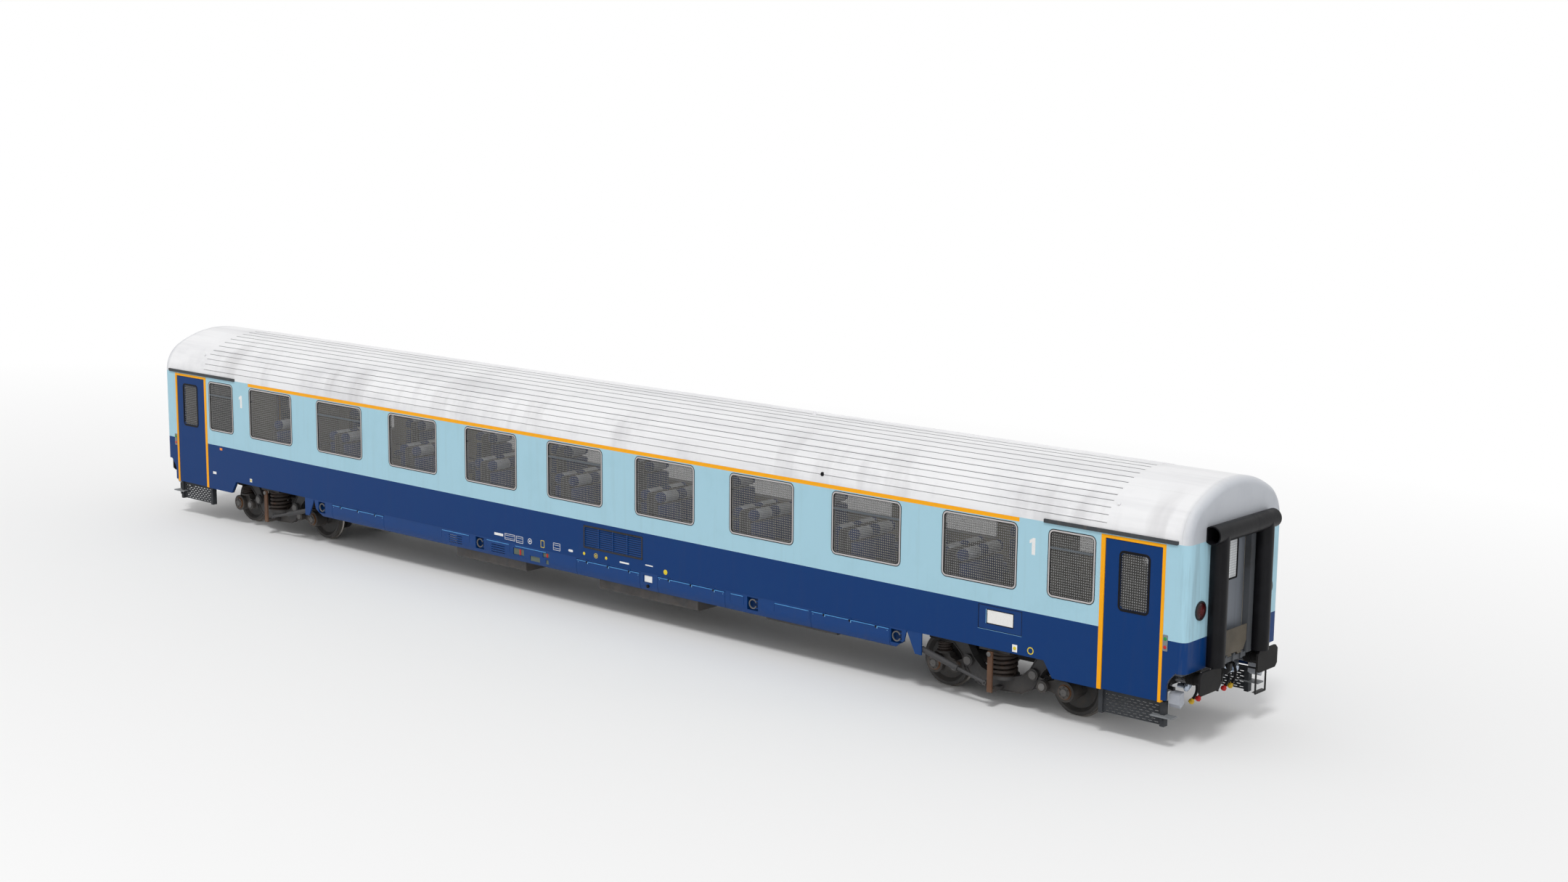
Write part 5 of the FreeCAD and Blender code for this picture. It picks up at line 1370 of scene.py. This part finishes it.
def make_skirt_fittings():
    """Linings and handles of the brake pockets, and the pale rings that hold hose ends."""
    linings = bmesh.new()
    handles = bmesh.new()
    rings = bmesh.new()
    for side in (1, -1):
        for first, last, bottom, top, has_handle in POCKETS:
            outline = rounded_outline(last - first - 0.010, top - bottom - 0.010, 0.006)
            plaque(
                linings, outline, PLATE_EDGE,
                on_side((first + last) / 2, (bottom + top) / 2, side, SKIRT_FACE - 0.0138),
            )
            if has_handle:
                x = first + (last - first) * 0.6 + 0.013
                lever = [
                    (-0.016, -0.057), (0.016, -0.057), (0.016, 0.036), (0.010, 0.057), (-0.010, 0.057),
                    (-0.016, 0.036),
                ]
                scale = (top - bottom - 0.018) / 0.112
                lever = [(across, above * scale) for across, above in lever]
                plaque(
                    handles, lever, ((0, -0.015), (0, 0.000), (0.12, 0.003)),
                    on_side(x, (bottom + top) / 2 + 0.001, side, SKIRT_FACE - 0.002),
                )
        for x in HOLDER_CENTRES:
            holder_ring(rings, x, side)
    add_piece("brake_pocket_linings", linings, MARK_GREY)
    add_piece("brake_handles", handles, MARK_RED)
    add_piece("hose_holder_rings", rings, BRIGHT_BOSS)
    gauges = bmesh.new()
    knobs = bmesh.new()
    lips = bmesh.new()
    for side in (1, -1):
        plaque(
            gauges, rounded_outline(0.190, 0.118, 0.008), PLATE_EDGE,
            on_side(GAUGE_X, 0.8675, side, SKIRT_FACE - 0.0118),
        )
        lathe(
            knobs, ((-0.034, 0.0315), (0.001, 0.0315), (0.004, 0.027), (0.004, 0)),
            (GAUGE_X, side * (SKIRT_FACE + 0.014), up(0.735)), (0, side, 0), 24,
        )
        lip = ((0, 0), (0, 0.005), (0.004, 0.007), (0.846, 0.007), (0.850, 0.005), (0.850, 0))
        lathe(lips, lip, (-1.640, side * SKIRT_FACE, up(0.940)), (1, 0, 0), 16)
    add_piece("gauge_knobs", knobs, GASKET)
    add_piece("pocket_lips", lips, FINISHES["blue_paint"])
    add_piece("gauge_plates", gauges, MARK_WHITE)


# Flaps as (name, first x, last x), each with its hinges evenly spaced.
FLAPS = (
    ("skirt_flap_1", -7.220, -5.560), ("skirt_flap_2", 0.040, 1.690),
    ("skirt_flap_3", 2.140, 3.780), ("skirt_flap_4", 5.765, 7.460),
)
FLAP_HINGES = 3
STRAP_RIM = ((0.1, -0.002), (0, 0.008), (0.1, 0.010))


def make_flap_straps():
    """Dark strap over each hinge, and painted highlights: a catch beside it and screws at the flap's ends."""
    for side_name, side in SIDES:
        for name, first, last in FLAPS:
            straps = bmesh.new()
            highlit_catches = bmesh.new()
            for number in range(FLAP_HINGES):
                x = first + (last - first) * (number + 0.5) / FLAP_HINGES
                plaque(
                    straps, rounded_outline(0.036, 0.040, 0.005), STRAP_RIM,
                    on_side(x, 0.934, side, SKIRT_FACE),
                )
                plaque(
                    highlit_catches, rounded_outline(0.014, 0.034, 0.005), STRAP_RIM,
                    on_side(x + 0.027, 0.917, side, SKIRT_FACE),
                )
            for sign in (1, -1):
                x = (first + last) / 2 + sign * ((last - first) / 2 - 0.045)
                head = ((-0.002, 0.007), (0.002, 0.007), (0.004, 0.004), (0.004, 0))
                lathe(highlit_catches, head, (x, side * SKIRT_FACE, up(0.905)), (0, side, 0), 12)
            body = f"{name}_{side_name}"
            add_piece(body + "_straps", straps, GASKET, body)
            add_piece(body + "_catches", highlit_catches, HIGHLIGHT_BLUE, body)


def holder_ring(bm, x, side):
    """Open ring with a rounded section, its gap towards the front."""
    section = (
        (0.0690, -0.005), (0.0690, -0.021), (0.0705, -0.023), (0.0875, -0.023), (0.0890, -0.021),
        (0.0890, -0.005), (0.0870, -0.0035), (0.0710, -0.0035),
    )
    loops = []
    gap = math.radians(22.5)
    for step in range(33):
        turn = gap + (2 * math.pi - 2 * gap) * step / 32
        at = on_side(x, HOLDER_Z, side, SKIRT_FACE)
        loops.append(
            [
                bm.verts.new(
                    at(radius * math.cos(turn), radius * math.sin(turn), proud)
                ) for radius, proud in section
            ]
        )
    join_all(bm, loops)


# ---- Saloon ----
FLOOR = 1.250
SEAT_PITCH = 2.250
SEAT_LINES = tuple(8.600 - SEAT_PITCH * number for number in range(9))
SEAT_PLACES = (-1.015, -0.465, 1.015)
# Sections of a seat's pads, as (forwards, up) points from the line between two rows and the floor.
BASE_SECTION = (
    (0.210, 0.372), (0.760, 0.360), (0.790, 0.385), (0.790, 0.430), (0.755, 0.466), (0.480, 0.470),
    (0.355, 0.488), (0.345, 0.380),
)
BACK_SECTION = (
    (0.118, 0.500), (0.325, 0.500), (0.330, 0.560), (0.318, 0.700), (0.296, 0.985), (0.280, 0.996),
    (0.118, 0.996),
)
HEAD_SECTION = tuple(
    (
        0.186 + 0.104 * math.cos(math.pi * (step + 0.5) / 6),
        1.120 + 0.104 * math.sin(math.pi * (step + 0.5) / 6),
    ) for step in range(12)
)
SEAT_ARM = (
    (-0.26, -0.23), (-0.18, -0.23), (-0.06, 0.04), (0.19, 0.05), (0.215, 0.07), (0.2, 0.092), (-0.26, 0.092)
)
BASE_WIDTH = 0.440
BACK_WIDTH = 0.500
HEAD_WIDTH = 0.526
PAD_VOXEL = 0.026
LIGHT_COUNT = 9
LIGHT_REACH = 1.000
LIGHT_Y = 0.450
LIGHT_Z = 3.912
CLOTH_FRAMES = 20


def closed_section(name, section, width):
    """Closed form of a section pulled across, with its rim drawn in a little."""
    bm = bmesh.new()
    middle = middle_of(section)
    loops = []
    for across, share in ((-0.5, 0.90), (-0.44, 0.985), (0.0, 1.0), (0.44, 0.985), (0.5, 0.90)):
        points = [middle + (Vector(one) - middle) * share for one in section]
        loops.append([bm.verts.new((point.x, across * width, point.y)) for point in points])
    join_all(bm, loops)
    return mesh_from(name, bm)


def evaluated(maker):
    """Mesh of an object with its modifiers applied."""
    bpy.context.view_layer.update()
    return bpy.data.meshes.new_from_object(maker.evaluated_get(bpy.context.evaluated_depsgraph_get()))


def stuffed(name, section, width, cap):
    """Pad puffed out of its section by a short cloth simulation, with no point moved further than the cap."""
    maker = linked(name + "_maker", closed_section(name + "_form", section, width))
    remesh = maker.modifiers.new("even mesh", "REMESH")
    remesh.mode = "VOXEL"
    remesh.voxel_size = PAD_VOXEL
    mesh = evaluated(maker)
    maker.modifiers.clear()
    maker.data = mesh
    start = [vertex.co.copy() for vertex in mesh.vertices]
    cloth = maker.modifiers.new("stuffing", "CLOTH")
    cloth.settings.use_pressure = True
    cloth.settings.uniform_pressure_force = 4.0
    cloth.settings.effector_weights.gravity = 0.0
    cloth.point_cache.frame_end = CLOTH_FRAMES
    for frame_number in range(1, CLOTH_FRAMES + 1):
        bpy.context.scene.frame_set(frame_number)
    puffed = evaluated(maker)
    for vertex, before, after in zip(mesh.vertices, start, puffed.vertices):
        moved = after.co - before
        vertex.co = before + moved * min(1.0, cap / max(moved.length, 1e-6))
    maker.modifiers.clear()
    bpy.context.scene.frame_set(1)
    bpy.data.objects.remove(maker)
    mesh.polygons.foreach_set("use_smooth", [True] * len(mesh.polygons))
    return mesh


def channelled(mesh, lines, along, depth, reach):
    """Sewn channels pressed into a pad across its width at heights or distances along it."""
    normals = [vertex.normal.copy() for vertex in mesh.vertices]
    for vertex, normal in zip(mesh.vertices, normals):
        for line in lines:
            away = (vertex.co[along] - line) / reach
            vertex.co -= normal * (depth * math.exp(-away * away))
    mesh.update()
    return mesh


def seat_shell():
    """Moulded back, pan, pedestal and padded arms of one seat."""
    bm = bmesh.new()

    def upright(across, above, proud):
        return Vector((0.070 + proud, across, 0.700 + above))

    plaque(
        bm, rounded_outline(0.520, 0.960, 0.060), ((0.02, -0.006), (0, 0.000), (0, 0.030), (0.02, 0.040)),
        upright,
    )

    def level(across, above, proud):
        return Vector((0.450 + above, across, 0.330 + proud))

    plaque(
        bm, rounded_outline(0.470, 0.600, 0.050), ((0.03, -0.020), (0, -0.010), (0, 0.022), (0.01, 0.030)),
        level,
    )
    plaque(
        bm, rounded_outline(0.300, 0.320, 0.040),
        ((0, -0.328), (0, -0.316), (0.12, -0.290), (0.20, -0.030)), level,
    )
    for side in (1, -1):
        def beside(across, above, proud, side=side):
            return Vector((0.400 + across, side * (0.245 + proud), 0.560 + above))

        plaque(bm, SEAT_ARM, ((0.04, -0.020), (0, -0.014), (0, 0.014), (0.04, 0.020)), beside)
    return mesh_from("seat_shell", bm)


def make_seats():
    """Rows of seats back to back: pads stuffed once and set out along the saloon."""
    base = channelled(
        stuffed("seat_base", BASE_SECTION, BASE_WIDTH, 0.016), (0.500, 0.640), 0, 0.007, 0.020
    )
    back = channelled(
        stuffed("seat_back", BACK_SECTION, BACK_WIDTH, 0.014), (0.640, 0.770, 0.900), 2, 0.007, 0.020
    )
    head = stuffed("seat_head", HEAD_SECTION, HEAD_WIDTH, 0.010)
    for mesh in (base, back, head):
        mesh.materials.append(FINISHES["seat_fabric"])
    head.materials.append(HEAD_COVER)
    for face in head.polygons:
        face.material_index = 1 if abs(face.center.y) < HEAD_WIDTH * 0.31 else 0
    shell = seat_shell()
    shell.materials.append(SEAT_SHELL)
    number = 0
    for line in SEAT_LINES:
        for facing in ((1, -1) if line > SEAT_LINES[-1] else (1,)):
            for y in SEAT_PLACES:
                number += 1
                for kind, mesh, slot, fill in (
                    ("base", base, "seat_fabric", 0.7), ("back", back, "seat_fabric", 0.7),
                    ("head", head, "seat_fabric", 0.8), ("shell", shell, "display_plastic", None),
                ):
                    made = linked(f"seat_{number}_{kind}", mesh)
                    made.location = (line, y, up(FLOOR))
                    made.rotation_euler = (0, 0, 0 if facing > 0 else math.pi)
                    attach(made, "coach_body")
                    if number == 1 and kind == "shell":
                        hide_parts("seats")


def make_ceiling_lights():
    """Two rows of ribbed opal light covers with end caps."""
    covers = bmesh.new()
    caps = bmesh.new()
    turns = [math.pi * step / 10 for step in range(11)]
    section = [(0.085 * math.cos(turn), -0.050 * math.sin(turn)) for turn in turns]
    for side in (1, -1):
        for number in range(LIGHT_COUNT):
            middle = (number - (LIGHT_COUNT - 1) // 2) * SEAT_PITCH
            rings = []
            for x in (middle - LIGHT_REACH, middle + LIGHT_REACH):
                rings.append(
                    [
                        covers.verts.new(
                            (x, side * LIGHT_Y + across, up(LIGHT_Z) + above)
                        ) for across, above in section
                    ]
                )
            join_rings(covers, *rings)
            for ring in rings:
                covers.faces.new(ring)
            for x, direction in ((middle - LIGHT_REACH, -1), (middle + LIGHT_REACH, 1)):
                def at(across, above, proud, x=x, direction=direction, side=side):
                    return Vector((x + direction * proud, side * LIGHT_Y + across, up(LIGHT_Z) + above))

                larger = [(across * 1.06, above * 1.08) for across, above in section]
                plaque(caps, larger, ((0, -0.010), (0, 0.012), (0.05, 0.018)), at)
    add_piece("light_covers", covers, DIFFUSER)
    add_piece("light_end_caps", caps, FINISHES["rack_aluminium"])


make_seats()
make_ceiling_lights()
make_seals()
make_rib_shadow_lines()
make_springs()
make_bogie_fixings()
make_end_bolts()
make_end_covers()
make_grille_screws()
make_marks()
make_class_digits()
make_displays()
make_door_buttons()
make_skirt_fittings()
make_flap_straps()


# ---- Setting ----
def seen_directly(tree):
    """One for the rays that show a thing itself: the camera's, and those off or through glass."""
    rays = add(tree, "ShaderNodeLightPath").outputs
    camera, glossy, through = (
        Value(rays[f"Is {kind} Ray"]) for kind in ("Camera", "Glossy", "Transmission")
    )
    return maths("MAXIMUM", camera, maths("MAXIMUM", glossy, through))


def build_floor():
    """Pale floor that fades to the white of the background far from the coach."""
    mesh = bpy.data.meshes.new("floor")
    reach = 400.0
    mesh.from_pydata(
        [(-reach, -reach, 0), (reach, -reach, 0), (reach, reach, 0), (-reach, reach, 0)], [], [(0, 1, 2, 3)]
    )
    ground = linked("studio_floor", mesh)
    material = finish("studio floor", Base_Color=(0.84, 0.84, 0.84), Roughness=0.9, Specular_IOR_Level=0.1)
    tree = material.node_tree
    squeezed = stretched(place(tree)[0], (0.55, 1.0, 1.0))
    length = add(tree, "ShaderNodeVectorMath", {0: squeezed}, operation="LENGTH").outputs["Value"]
    white = ramp(Value(length), 5.0, 22.0) * seen_directly(tree)
    ground_look = Value(tree.nodes["Principled BSDF"].outputs["BSDF"])
    glow = Value(add(tree, "ShaderNodeEmission", {"Color": (1, 1, 1), "Strength": 1.0}).outputs["Emission"])
    mixed = add(tree, "ShaderNodeMixShader", {0: white, 1: ground_look, 2: glow})
    put(tree, Value(mixed.outputs["Shader"]), tree.nodes["Material Output"].inputs["Surface"])
    ground.data.materials.append(material)


def build_world():
    """Even pale sky for light, white where it is seen."""
    world = bpy.data.worlds.new("studio")
    bpy.context.scene.world = world
    world.use_nodes = True
    tree = world.node_tree
    sky = tree.nodes["Background"].inputs
    put(tree, spread(seen_directly(tree), 0.62, 1.0), sky["Strength"])
    put(tree, (1, 1, 1), sky["Color"])


def build_lights():
    """High soft key over the near side, and a weak one from ahead."""
    for name, direction, strength, spread in (
        ("key", (-0.30, 0.55, -1.0), 1.35, 12.0),
        ("fill", (-1.0, 0.9, -0.35), 0.35, 40.0),
    ):
        data = bpy.data.lights.new(name, "SUN")
        data.energy = strength
        data.angle = math.radians(spread)
        lamp = bpy.data.objects.new(name, data)
        lamp.rotation_euler = Vector(direction).to_track_quat("-Z", "Y").to_euler()
        bpy.context.scene.collection.objects.link(lamp)


build_floor()
build_world()
build_lights()
bpy.context.scene.view_settings.view_transform = "Standard"
